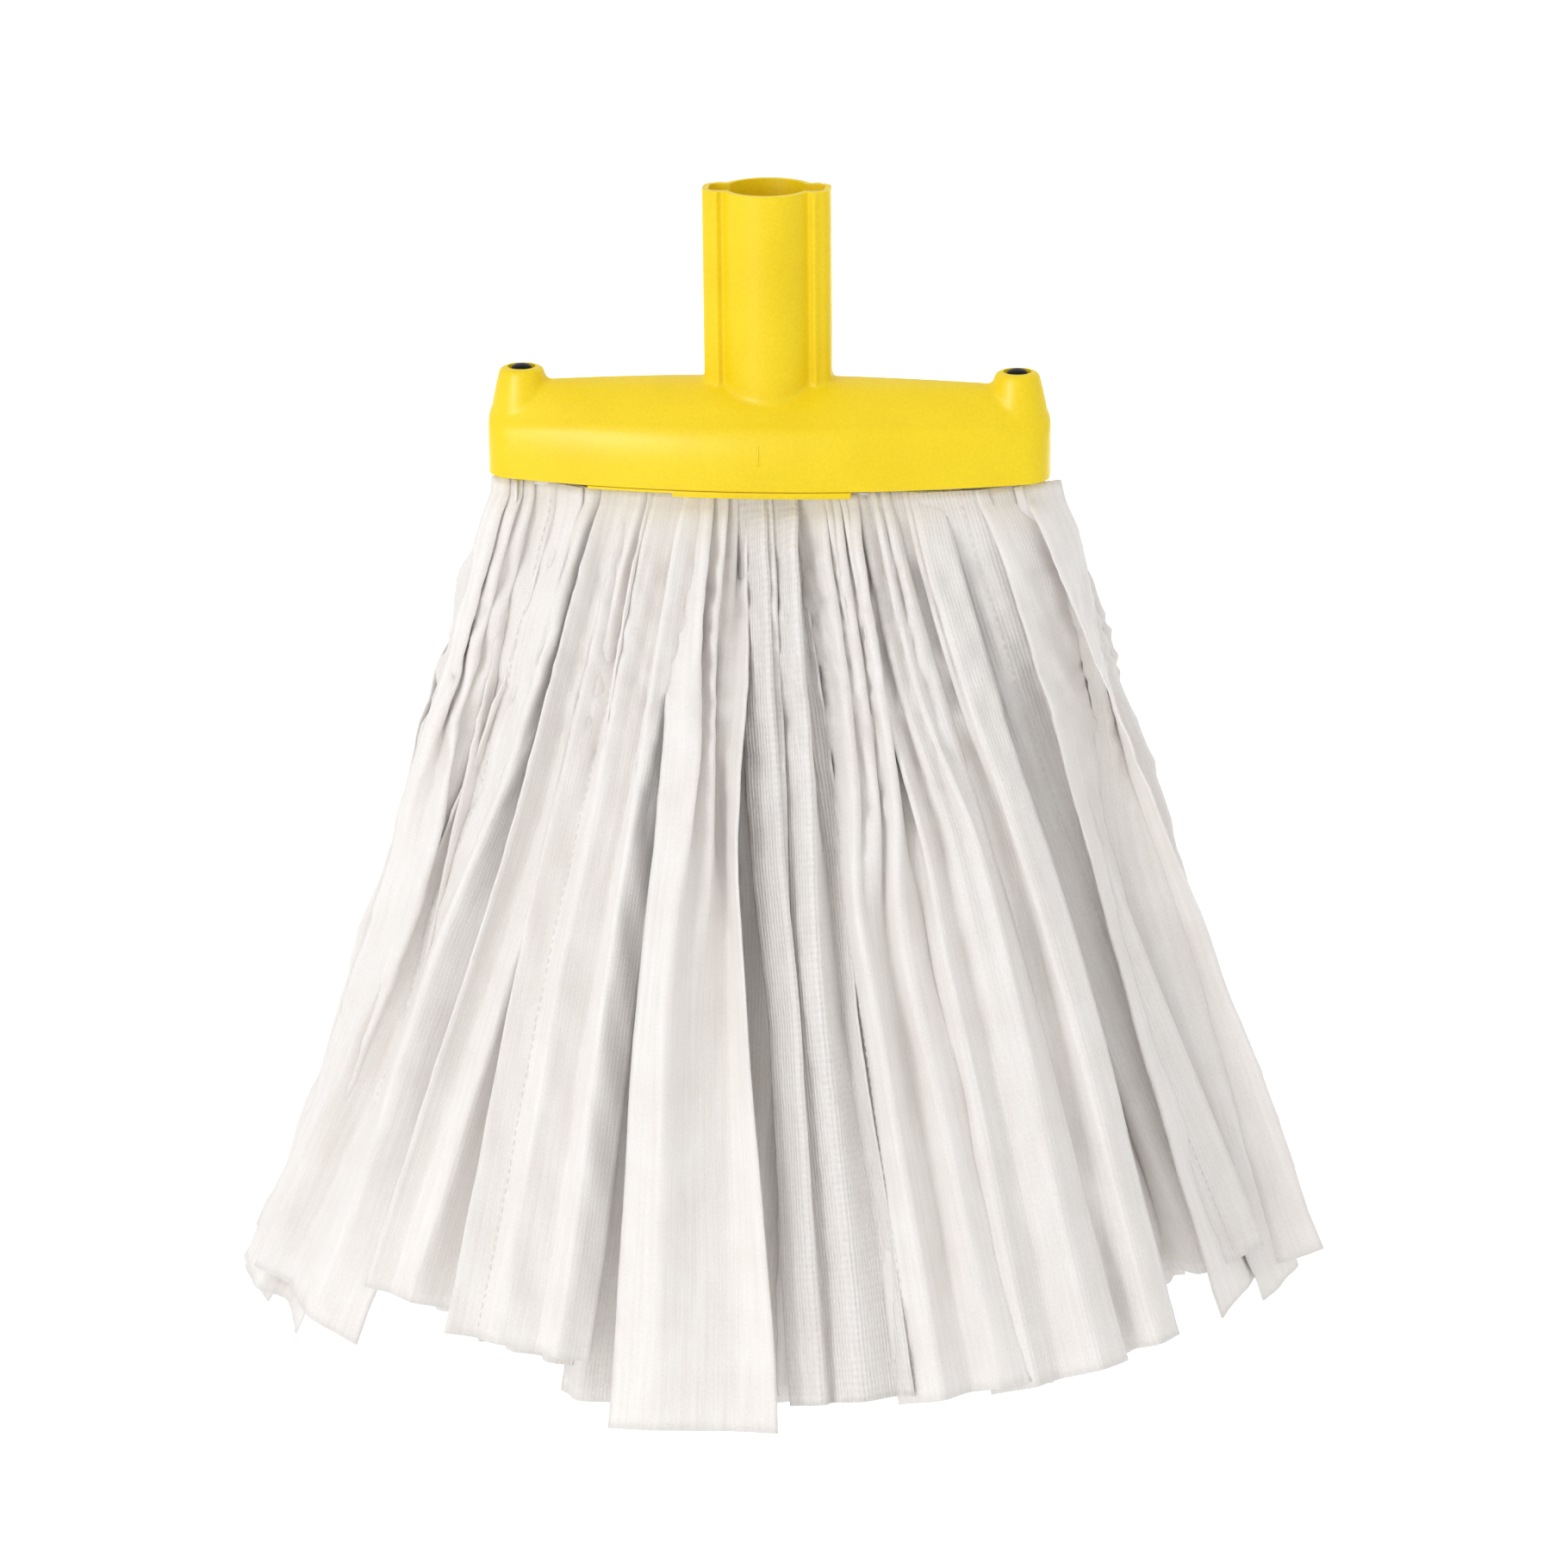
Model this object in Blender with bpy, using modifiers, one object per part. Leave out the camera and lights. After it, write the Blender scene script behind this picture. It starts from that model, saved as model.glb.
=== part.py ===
"""Socket mop head: a moulded head with a fan of nonwoven strips.

Frame: origin at the middle of the socket's mouth, +Z up out of the mouth, X along the head
and -Y to the front. Metres. The strips hang from the head and rest closed, as a hung mop does.
"""

import math

import bmesh
import bpy
import numpy as np
from mathutils import Vector

MM = 0.001

# --- head moulding: heights are above the lower edge of its skirt
HEAD_LENGTH = 150 * MM
HEAD_HEIGHT = 77 * MM
SKIRT_HALF_DEPTH = 22 * MM
SKIRT_PARABOLA = 98 * MM       # where the skirt's curved sides would meet
END_ROUND = 6 * MM
INNER_ROUND = 2 * MM           # the least rounding of an inner corner
WALL = 2 * MM
CREST_HEIGHT = 16.3 * MM
RIDGE_HEIGHT = 25 * MM
END_HEIGHT = 12 * MM
ROOF_FLAT = 54 * MM            # the ridge starts to fall past this distance from the middle

# --- handle socket
TUBE_RADIUS = 12.5 * MM
BORE_RADIUS = 10.8 * MM
BORE_DEPTH = 60 * MM
SOCKET_FLOOR = 2.5 * MM
WING_HALF_WIDTH = 17 * MM
WING_HALF_DEPTH = 5.75 * MM
WING_WALL = 1.7 * MM
WING_DEPTH = 56 * MM
WING_HOLLOW_DEPTH = 48 * MM

# --- rivet posts and rivets
POST_X = 66 * MM
POST_TOP = 28 * MM             # above the skirt's lower edge
POST_FOOT = 11 * MM
BOSS_FOOT = 8 * MM              # a straight boss under each post reaches down to here
BOSS_RADIUS = 5 * MM
POST_TOP_RADIUS = 5.4 * MM
POST_FOOT_RADIUS = 8.8 * MM
RECESS_RADIUS = 3.7 * MM
RECESS_DEPTH = 1.6 * MM
RIVET_HOLE_RADIUS = 1.8 * MM
RIVET_RADIUS = 1.5 * MM
RIVET_HEAD_RADIUS = 2.7 * MM
RIVET_HEAD_HEIGHT = 1.6 * MM
RIVET_TAIL_RADIUS = 2.9 * MM
RIVET_TAIL_HEIGHT = 1.6 * MM
WASHER_RADIUS = 4.2 * MM
WASHER_THICKNESS = 0.8 * MM
GAP = 0.3 * MM                 # between pieces that touch

# --- clamp frame under the head
FRAME_CLEARANCE = 0.8 * MM
FRAME_WALL = 1.6 * MM
LUG_THICKNESS = 2.4 * MM
FRAME_BELOW_SKIRT = 1 * MM
TAB_FROM, TAB_TO = -24 * MM, 23 * MM
TAB_HEIGHT = 2.5 * MM
LIP_FROM = -47 * MM
LIP_HEIGHT = 1.2 * MM
TAB_PROUD = 0.4 * MM

# --- strips: rings are ovals measured at the strips' mid-thickness
# The strips move in eight groups, from the front middle round by +X: front centre, front
# right, right end, back right, back centre, back left, left end, front left.
GROUPS = 8
OUTER_PER_GROUP = 3
INNER_PER_GROUP = (3, 2, 2, 2, 3, 2, 2, 2)
OVAL_POWER = 2.5
ROOT_TOP = -80.3 * MM
OUTER_ROOT = (69 * MM, 15.4 * MM)
OUTER_HEM = (149 * MM, 95 * MM)
OUTER_HEM_Z = -313 * MM
OUTER_THICKNESS = (6.2 * MM, 5.5 * MM)
INNER_ROOT = (60 * MM, 7.8 * MM)
INNER_HEM = (112 * MM, 60 * MM)
INNER_HEM_Z = -320 * MM
INNER_THICKNESS = (4.6 * MM, 5.5 * MM)
ROOT_GAP = 1.2 * MM
HEM_GAP = 3.0 * MM
STRIP_STATIONS = 4

# --- stitched middle of the strips, inside the head
CORE_HALF_LENGTH = 54 * MM
CORE_HALF_DEPTH = 10.5 * MM
CORE_TOP = -64.6 * MM
CORE_FLANGE_TOP = -75.2 * MM
CORE_BOTTOM = -79.6 * MM
CORE_CLEARANCE = 0.5 * MM      # from the flange to the clamp frame round it
TAPE_HALF_WIDTH = 4.5 * MM
TAPE_THICKNESS = 0.8 * MM

SKIRT_Z = -HEAD_HEIGHT


# ---------------------------------------------------------------- scene and materials

def clear_scene():
    for ob in list(bpy.data.objects):
        bpy.data.objects.remove(ob, do_unlink=True)


def collection(name):
    made = bpy.data.collections.new(name)
    bpy.context.scene.collection.children.link(made)
    return made


def linear(hex_colour):
    """A '#rrggbb' colour as linear RGBA."""
    parts = [int(hex_colour[i:i + 2], 16) / 255 for i in (1, 3, 5)]
    return tuple(c / 12.92 if c <= 0.04045 else ((c + 0.055) / 1.055) ** 2.4 for c in parts) + (1,)


def material(name, colour, roughness, metallic=0.0):
    made = bpy.data.materials.new(name)
    made.use_nodes = True
    shader = made.node_tree.nodes["Principled BSDF"]
    shader.inputs["Base Color"].default_value = linear(colour)
    shader.inputs["Roughness"].default_value = roughness
    shader.inputs["Metallic"].default_value = metallic
    made.diffuse_color = linear(colour)
    return made


# ---------------------------------------------------------------- shape helpers

def new_object(name, mesh, parts, mat=None):
    ob = bpy.data.objects.new(name, mesh)
    parts.objects.link(ob)
    if mat:
        mesh.materials.append(mat)
    return ob


def mesh_from(name, bm):
    bmesh.ops.recalc_face_normals(bm, faces=bm.faces)
    mesh = bpy.data.meshes.new(name)
    bm.to_mesh(mesh)
    bm.free()
    return mesh


def loft(name, rings):
    """A closed skin through rings that have the same number of points, with flat ends."""
    bm = bmesh.new()
    rows = [[bm.verts.new(p) for p in ring] for ring in rings]
    count = len(rows[0])
    for low, high in zip(rows, rows[1:]):
        for i in range(count):
            j = (i + 1) % count
            bm.faces.new((low[i], low[j], high[j], high[i]))
    bm.faces.new(rows[0])
    bm.faces.new(rows[-1])
    return mesh_from(name, bm)


def plate(name, outline, low, high):
    """A flat outline in XY with a thickness from low to high in Z."""
    curve = bpy.data.curves.new(name, "CURVE")
    curve.dimensions = "2D"
    curve.fill_mode = "BOTH"
    curve.extrude = (high - low) / 2
    spline = curve.splines.new("POLY")
    spline.points.add(len(outline) - 1)
    for point, (x, y) in zip(spline.points, outline):
        point.co = (x, y, 0, 1)
    spline.use_cyclic_u = True
    guide = bpy.data.objects.new(name, curve)
    bpy.context.scene.collection.objects.link(guide)
    graph = bpy.context.evaluated_depsgraph_get()
    mesh = bpy.data.meshes.new_from_object(guide.evaluated_get(graph))
    bpy.data.objects.remove(guide, do_unlink=True)
    bm = bmesh.new()
    bm.from_mesh(mesh)
    bmesh.ops.remove_doubles(bm, verts=bm.verts, dist=1e-6)
    bmesh.ops.translate(bm, verts=bm.verts, vec=(0, 0, (low + high) / 2))
    return mesh_from(name, bm)


def cylinder(name, x, radius, low, high, segments=48, top_radius=None):
    """An upright cylinder or cone standing at (x, 0)."""
    bm = bmesh.new()
    bmesh.ops.create_cone(
        bm, cap_ends=True, segments=segments, radius1=radius,
        radius2=radius if top_radius is None else top_radius, depth=high - low,
    )
    bmesh.ops.translate(bm, verts=bm.verts, vec=(x, 0, (low + high) / 2))
    return mesh_from(name, bm)


def join(ob, meshes, operation, cutters):
    """Adds meshes to ob (UNION) or cuts them from it (DIFFERENCE), and applies the result."""
    for mesh in meshes:
        tool = new_object("tool_" + mesh.name, mesh, cutters)
        tool.hide_render = True
        tool.display_type = "WIRE"
        cut = ob.modifiers.new(operation.lower(), "BOOLEAN")
        cut.operation = operation
        cut.object = tool
    graph = bpy.context.evaluated_depsgraph_get()
    done = bpy.data.meshes.new_from_object(ob.evaluated_get(graph))
    done.name = ob.data.name
    ob.modifiers.clear()
    ob.data = done
    for tool in list(cutters.objects):
        bpy.data.objects.remove(tool, do_unlink=True)


def smooth(ob, angle=35):
    ob.data.shade_smooth()
    ob.data.set_sharp_from_angle(angle=math.radians(angle))


# ---------------------------------------------------------------- head moulding

def skirt_half_depth(x, inset=0.0):
    """Half the skirt's depth at x, for an outline that is inset from the skirt's own."""
    end = HEAD_LENGTH / 2 - inset
    depth = SKIRT_HALF_DEPTH * (1 - (x / SKIRT_PARABOLA) ** 2) - inset
    rounding = max(END_ROUND - inset, INNER_ROUND)
    into_corner = abs(x) - (end - rounding)
    if into_corner > 0:
        depth += math.sqrt(max(rounding ** 2 - into_corner ** 2, 0)) - rounding
    return depth


def ridge_height(x):
    past = max(abs(x) - ROOF_FLAT, 0) / (HEAD_LENGTH / 2 - ROOF_FLAT)
    fall = 1 - math.sqrt(max(1 - past ** 2, 0))
    crowned = RIDGE_HEIGHT - 1.2 * MM * (x / ROOF_FLAT) ** 2 * (abs(x) < ROOF_FLAT)
    crowned -= 1.2 * MM * (abs(x) >= ROOF_FLAT)
    return crowned - (crowned - END_HEIGHT - 1 * MM) * fall


def crest_height(x):
    share = (2 * abs(x) / HEAD_LENGTH) ** 4
    return CREST_HEIGHT * (1 - share) + END_HEIGHT * share


def body_section(x, inset, bottom):
    """One cross-section of the boat-shaped body, from its front foot over the ridge."""
    depth = skirt_half_depth(x, inset)
    crest = crest_height(x) - inset
    ridge = max(ridge_height(x) - inset * 1.15, crest + 0.4 * MM)
    rise = ridge - crest
    half = [
        (depth, bottom),
        (depth, crest * 0.45),
        (depth - 0.04 * depth, crest * 0.74),
        (depth - 0.10 * depth, crest * 0.92),
        (depth - 0.18 * depth, crest),
        (depth * 0.58, crest + rise * 0.47),
        (depth * 0.30, crest + rise * 0.84),
    ]
    front = [(x, -y, SKIRT_Z + z) for y, z in half]
    back = [(x, y, SKIRT_Z + z) for y, z in reversed(half)]
    return front + [(x, 0, SKIRT_Z + ridge)] + back


def body_mesh(name, inset, bottom):
    end = HEAD_LENGTH / 2 - inset
    near_end = [end - END_ROUND * s for s in (1.0, 0.6, 0.3, 0.1, 0.0)]
    positive = [x * MM for x in (10, 21, 32, 42, 50, 57, 63)] + near_end
    stations = [-x for x in reversed(positive)] + [0] + positive
    return loft(name, [body_section(x, inset, bottom) for x in stations])


def wing_mesh(name, half_width, half_depth, low, high, rounding):
    """A flat box along X with rounded ends, the plan of the socket's two wings."""
    outline = []
    for sx, sy, start in ((1, -1, -90), (1, 1, 0), (-1, 1, 90), (-1, -1, 180)):
        for step in range(5):
            turn = math.radians(start + 22.5 * step)
            outline.append((
                sx * (half_width - rounding) + rounding * math.cos(turn),
                sy * (half_depth - rounding) + rounding * math.sin(turn),
            ))
    return plate(name, outline, low, high)


def head_moulding(parts, cutters, mat):
    ob = new_object("head_moulding", body_mesh("head_moulding", 0, 0), parts, mat)
    join(ob, [body_mesh("cavity", WALL, -1 * MM)], "DIFFERENCE", cutters)
    posts = [
        cylinder("post", side * POST_X, POST_FOOT_RADIUS, SKIRT_Z + POST_FOOT,
                 SKIRT_Z + POST_TOP, 32, POST_TOP_RADIUS)
        for side in (-1, 1)
    ]
    posts += [
        cylinder("boss", side * POST_X, BOSS_RADIUS, SKIRT_Z + BOSS_FOOT,
                 SKIRT_Z + POST_FOOT + 1 * MM, 24)
        for side in (-1, 1)
    ]
    tube = cylinder("tube", 0, TUBE_RADIUS, -BORE_DEPTH - SOCKET_FLOOR, 0)
    wings = wing_mesh("wings", WING_HALF_WIDTH, WING_HALF_DEPTH, -WING_DEPTH, 0, 3.5 * MM)
    join(ob, posts + [tube, wings], "UNION", cutters)
    bore = cylinder("bore", 0, BORE_RADIUS, -BORE_DEPTH, 1 * MM)
    hollow = wing_mesh("wing_hollow", WING_HALF_WIDTH - WING_WALL, WING_HALF_DEPTH - WING_WALL,
                       -WING_HOLLOW_DEPTH, 1 * MM, 2 * MM)
    cuts = [bore, hollow]
    top = SKIRT_Z + POST_TOP
    for side in (-1, 1):
        cuts.append(cylinder("hole", side * POST_X, RIVET_HOLE_RADIUS, SKIRT_Z, top + 1 * MM, 16))
        cuts.append(cylinder("recess", side * POST_X, RECESS_RADIUS, top - RECESS_DEPTH,
                             top + 1 * MM, 24))
    join(ob, cuts, "DIFFERENCE", cutters)
    smooth(ob)
    return ob


# ---------------------------------------------------------------- clamp frame and fasteners

def skirt_outline(inset, steps=24):
    end = HEAD_LENGTH / 2 - inset
    xs = [end * math.sin(math.pi / 2 * i / steps) for i in range(-steps, steps + 1)]
    front = [(x, -skirt_half_depth(x, inset)) for x in xs]
    back = [(x, -y) for x, y in reversed(front)]
    return front + back


def front_strip_outline(start, stop, outer_inset, inner_inset, steps=8):
    """The outline of a piece that follows the front of the skirt from start to stop."""
    xs = [start + (stop - start) * i / steps for i in range(steps + 1)]
    outer = [(x, -skirt_half_depth(x, outer_inset)) for x in xs]
    inner = [(x, -skirt_half_depth(x, inner_inset)) for x in reversed(xs)]
    return outer + inner


def clamp_frame(parts, cutters, mat):
    """A ring inside the skirt, with a lug for each rivet and a tab under the front edge."""
    outside = WALL + FRAME_CLEARANCE
    inside = outside + FRAME_WALL
    top = SKIRT_Z + BOSS_FOOT - GAP
    low = SKIRT_Z - FRAME_BELOW_SKIRT
    ob = new_object("clamp_frame", plate("clamp_frame", skirt_outline(outside), low, top),
                    parts, mat)
    join(ob, [plate("ring_inside", skirt_outline(inside), low - 1 * MM, top - LUG_THICKNESS)],
         "DIFFERENCE", cutters)
    window = wing_mesh("window", POST_X - 8 * MM, 12 * MM, low - 1 * MM, top + 1 * MM, 4 * MM)
    holes = [cylinder("lug_hole", side * POST_X, RIVET_HOLE_RADIUS, low, top + 1 * MM, 16)
             for side in (-1, 1)]
    join(ob, [window] + holes, "DIFFERENCE", cutters)
    under = SKIRT_Z - GAP
    tab = plate("tab", front_strip_outline(TAB_FROM, TAB_TO, -TAB_PROUD, inside - 0.2 * MM),
                SKIRT_Z - TAB_HEIGHT, under)
    lip = plate("lip", front_strip_outline(LIP_FROM, TAB_FROM + 1 * MM, -TAB_PROUD / 2,
                                           inside - 0.2 * MM), SKIRT_Z - LIP_HEIGHT, under)
    join(ob, [tab, lip], "UNION", cutters)
    smooth(ob)
    return ob


def rivet_mesh():
    """The rivet's profile turned about Z: domed head, shank, and the tail formed under it."""
    head_under = SKIRT_Z + POST_TOP - RECESS_DEPTH + GAP
    tail_top = SKIRT_Z + BOSS_FOOT - GAP - LUG_THICKNESS - WASHER_THICKNESS - 2 * GAP
    dome = [(RIVET_HEAD_RADIUS * math.sin(math.radians(a)),
             head_under + RIVET_HEAD_HEIGHT * math.cos(math.radians(a))) for a in (0, 30, 60, 90)]
    tail = [(RIVET_TAIL_RADIUS * math.cos(math.radians(a)),
             tail_top - RIVET_TAIL_HEIGHT * math.sin(math.radians(a))) for a in (0, 30, 60, 90)]
    profile = dome + [(RIVET_RADIUS, head_under), (RIVET_RADIUS, tail_top)] + tail
    mesh = bpy.data.meshes.new("rivet")
    points = [(0 if r < 1e-7 else r, 0, z) for r, z in profile]
    mesh.from_pydata(points, [(i, i + 1) for i in range(len(points) - 1)], [])
    return mesh


def rivet(name, side, mesh, parts, mat):
    ob = new_object(name, mesh, parts)
    if not mesh.materials:
        mesh.materials.append(mat)
    ob.location.x = side * POST_X
    screw = ob.modifiers.new("turned", "SCREW")
    screw.steps = screw.render_steps = 20
    screw.use_merge_vertices = True
    screw.merge_threshold = 1e-6
    return ob


def washer(name, side, parts, cutters, mat):
    top = SKIRT_Z + BOSS_FOOT - GAP - LUG_THICKNESS - GAP
    ob = new_object(name, cylinder(name, side * POST_X, WASHER_RADIUS, top - WASHER_THICKNESS,
                                   top, 32), parts, mat)
    join(ob, [cylinder("eye", side * POST_X, RIVET_HOLE_RADIUS, top - 2 * MM, top + 1 * MM, 16)],
         "DIFFERENCE", cutters)
    smooth(ob)
    return ob


# ---------------------------------------------------------------- strips

class Oval:
    """A blunt oval, walked by the share of its length from its front middle towards +X."""

    def __init__(self, half_length, half_depth):
        turn = np.linspace(-math.pi / 2, 1.5 * math.pi, 1441)
        c, s = np.cos(turn), np.sin(turn)
        self.x = half_length * np.sign(c) * np.abs(c) ** (2 / OVAL_POWER)
        self.y = half_depth * np.sign(s) * np.abs(s) ** (2 / OVAL_POWER)
        steps = np.hypot(np.diff(self.x), np.diff(self.y))
        self.run = np.concatenate([[0], np.cumsum(steps)])
        self.length = float(self.run[-1])

    def point(self, share):
        at = (share % 1.0) * self.length
        return Vector((np.interp(at, self.run, self.x), np.interp(at, self.run, self.y)))

    def outward(self, share):
        along = (self.point(share + 0.004) - self.point(share - 0.004)).normalized()
        return Vector((along.y, -along.x))

    def share_at(self, x):
        """The share in the first quarter where the oval reaches x."""
        quarter = len(self.x) // 4 + 1
        return float(np.interp(x, self.x[:quarter], self.run[:quarter])) / self.length


def strip_mesh(name, root, hem, root_span, hem_span, hem_z, thickness):
    """A straight slab between two ovals. A span is its start and end share on an oval."""
    root_trim = 0.5 * ROOT_GAP / root.length
    hem_trim = 0.5 * HEM_GAP / hem.length

    def edge(end, face):
        inward = 1 - 2 * end
        top_share = root_span[end] + inward * root_trim
        low_share = hem_span[end] + inward * hem_trim
        top = root.point(top_share) + root.outward(top_share) * face * thickness[0] / 2
        low = hem.point(low_share) + hem.outward(low_share) * face * thickness[1] / 2
        return Vector((*top, ROOT_TOP)), Vector((*low, hem_z))

    edges = [edge(0, 1), edge(1, 1), edge(1, -1), edge(0, -1)]
    shares = [i / (STRIP_STATIONS - 1) for i in range(STRIP_STATIONS)]
    return loft(name, [[top.lerp(low, t) for top, low in edges] for t in shares])


def split(start, end, count):
    """The spans of count equal parts of a stretch."""
    width = (end - start) / count
    return [(start + i * width, start + (i + 1) * width) for i in range(count)]


def inner_bounds(inner, outer):
    """Where the inner oval's groups meet, so that each group swings out past its neighbours.

    The groups at the middle of the front and back swing straight out, so their inner and
    outer strips end at the same x. The other groups meet at the outer oval's own shares.
    """
    middle = inner.share_at(outer.point(0.5 / GROUPS).x)
    return [-middle, middle, 3 / 16, 5 / 16, 0.5 - middle, 0.5 + middle, 11 / 16, 13 / 16,
            1 - middle]


def strips(parts, mat):
    outer_root, outer_hem = Oval(*OUTER_ROOT), Oval(*OUTER_HEM)
    inner_root, inner_hem = Oval(*INNER_ROOT), Oval(*INNER_HEM)
    first = -0.5 / GROUPS
    spans = split(first, first + 1, GROUPS * OUTER_PER_GROUP)
    for i, span in enumerate(spans):
        name = f"outer_strip_{i + 1:02d}"
        mesh = strip_mesh(name, outer_root, outer_hem, span, span, OUTER_HEM_Z,
                          OUTER_THICKNESS)
        new_object(name, mesh, parts, mat)
    root_bounds = inner_bounds(inner_root, outer_root)
    hem_bounds = inner_bounds(inner_hem, outer_hem)
    number = 0
    for group, count in enumerate(INNER_PER_GROUP):
        root_spans = split(*root_bounds[group:group + 2], count)
        hem_spans = split(*hem_bounds[group:group + 2], count)
        for root_span, hem_span in zip(root_spans, hem_spans):
            number += 1
            name = f"inner_strip_{number:02d}"
            mesh = strip_mesh(name, inner_root, inner_hem, root_span, hem_span, INNER_HEM_Z,
                              INNER_THICKNESS)
            new_object(name, mesh, parts, mat)


def strip_core(parts, cutters, mat):
    """The stacked middles of the strips: a block up in the head on a flange that fills its mouth."""
    inset = WALL + FRAME_CLEARANCE + FRAME_WALL + CORE_CLEARANCE
    flange = plate("strip_core", skirt_outline(inset, 16), CORE_BOTTOM, CORE_FLANGE_TOP)
    ob = new_object("strip_core", flange, parts, mat)
    block = wing_mesh("block", CORE_HALF_LENGTH, CORE_HALF_DEPTH, CORE_FLANGE_TOP - 1 * MM,
                      CORE_TOP, 5 * MM)
    join(ob, [block], "UNION", cutters)
    return ob


def binding_tape(parts, mat):
    low = CORE_TOP + GAP
    mesh = wing_mesh("binding_tape", CORE_HALF_LENGTH - 2 * MM, TAPE_HALF_WIDTH, low,
                     low + TAPE_THICKNESS, 1 * MM)
    return new_object("binding_tape", mesh, parts, mat)


# ---------------------------------------------------------------- assembly

def main():
    clear_scene()
    parts = collection("socket_mop_head")
    cutters = collection("cutters")
    yellow = material("moulded_plastic_yellow", "#f0d420", 0.42)
    yellow_frame = material("moulded_plastic_frame", "#e6ca1c", 0.45)
    black = material("rivet_black", "#141414", 0.35)
    zinc = material("washer_zinc", "#b8bcc0", 0.35, 1.0)
    cloth = material("nonwoven_white", "#efebe6", 0.9)
    core_cloth = material("nonwoven_core", "#e9e4de", 0.9)
    tape = material("tape_cotton", "#e2ddd2", 0.85)
    head_moulding(parts, cutters, yellow)
    clamp_frame(parts, cutters, yellow_frame)
    shared = rivet_mesh()
    for side, word in ((-1, "left"), (1, "right")):
        rivet(f"{word}_rivet", side, shared, parts, black)
        washer(f"{word}_washer", side, parts, cutters, zinc)
    strip_core(parts, cutters, core_cloth)
    binding_tape(parts, tape)
    strips(parts, cloth)


main()
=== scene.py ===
# %% [markdown]
# # A socket mop head, and how to make one
#
# This is the head of a floor mop: a moulded yellow head with a socket for the handle, and a
# fan of white nonwoven strips stitched together and held up inside it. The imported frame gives
# the sizes, the bodies and the joints. This script gives the surfaces: a smooth moulding, black
# rivet heads, and cloth that is folded along its length.

# %% Load the frame
import math

import bmesh
import bpy
import numpy as np
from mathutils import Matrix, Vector
from mathutils.bvhtree import BVHTree


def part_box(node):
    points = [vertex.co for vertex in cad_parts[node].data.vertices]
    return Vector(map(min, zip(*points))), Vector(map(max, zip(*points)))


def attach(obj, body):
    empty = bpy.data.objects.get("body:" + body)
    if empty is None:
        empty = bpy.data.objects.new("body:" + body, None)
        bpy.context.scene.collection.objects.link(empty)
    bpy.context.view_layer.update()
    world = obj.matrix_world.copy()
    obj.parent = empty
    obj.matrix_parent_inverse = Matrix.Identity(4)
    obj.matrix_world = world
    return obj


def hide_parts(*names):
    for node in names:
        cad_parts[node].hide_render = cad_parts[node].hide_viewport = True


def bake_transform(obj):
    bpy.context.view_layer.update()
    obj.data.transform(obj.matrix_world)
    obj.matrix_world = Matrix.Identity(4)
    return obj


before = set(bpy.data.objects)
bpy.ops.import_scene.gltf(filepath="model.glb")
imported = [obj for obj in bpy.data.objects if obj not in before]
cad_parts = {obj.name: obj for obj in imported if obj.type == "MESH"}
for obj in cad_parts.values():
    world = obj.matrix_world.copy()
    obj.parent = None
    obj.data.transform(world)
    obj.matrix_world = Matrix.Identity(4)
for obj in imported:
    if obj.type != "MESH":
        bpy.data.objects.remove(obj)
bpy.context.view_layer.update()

MM = 0.001

# %% [markdown]
# ## Small helpers
#
# Colours are easiest to read as the hex values of a paint chart, but a shader wants linear
# numbers, so one function turns one into the other. One more adds a shader node together with
# its settings and links. That is all the plumbing that the materials need.

# %% Colour and node helpers


def linear(hex_colour):
    """A '#rrggbb' sRGB colour as linear RGBA."""
    parts = [int(hex_colour[i:i + 2], 16) / 255 for i in (1, 3, 5)]
    return tuple(c / 12.92 if c <= 0.04045 else ((c + 0.055) / 1.055) ** 2.4 for c in parts) + (1,)


def add(tree, kind, inputs=None, **settings):
    """Adds a node. inputs gives each socket, by name or index, a value or an output to link."""
    made = tree.nodes.new(kind)
    for key, value in settings.items():
        setattr(made, key, value)
    for key, value in (inputs or {}).items():
        if isinstance(value, bpy.types.NodeSocket):
            tree.links.new(value, made.inputs[key])
        else:
            made.inputs[key].default_value = value
    return made


def new_material(name):
    """An empty Principled material: its tree and its shader."""
    made = bpy.data.materials.new(name)
    made.use_nodes = True
    return made, made.node_tree, made.node_tree.nodes["Principled BSDF"]


def ramp(tree, factor, stops):
    """A colour ramp through (position, colour) stops, with factor linked into it."""
    made = add(tree, "ShaderNodeValToRGB", {"Fac": factor})
    steps = made.color_ramp.elements
    while len(steps) < len(stops):
        steps.new(0.5)
    for step, (place, colour) in zip(steps, stops):
        step.position = place
        step.color = colour
    return made.outputs["Color"]


def grey(value):
    return (value, value, value, 1)


# %% [markdown]
# ## Materials
#
# **Moulded polypropylene.** The head is injection moulded in one shot from dyed polypropylene.
# The plastic is a little waxy: light goes a millimetre or so into it, the gloss is soft, and the
# mould's fine spark-eroded texture breaks up the highlight.

# %% Moulded polypropylene

GRAIN = 0.35 * MM          # the mould's texture
FLOW = 22 * MM             # slow changes where the melt cooled at different speeds


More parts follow.
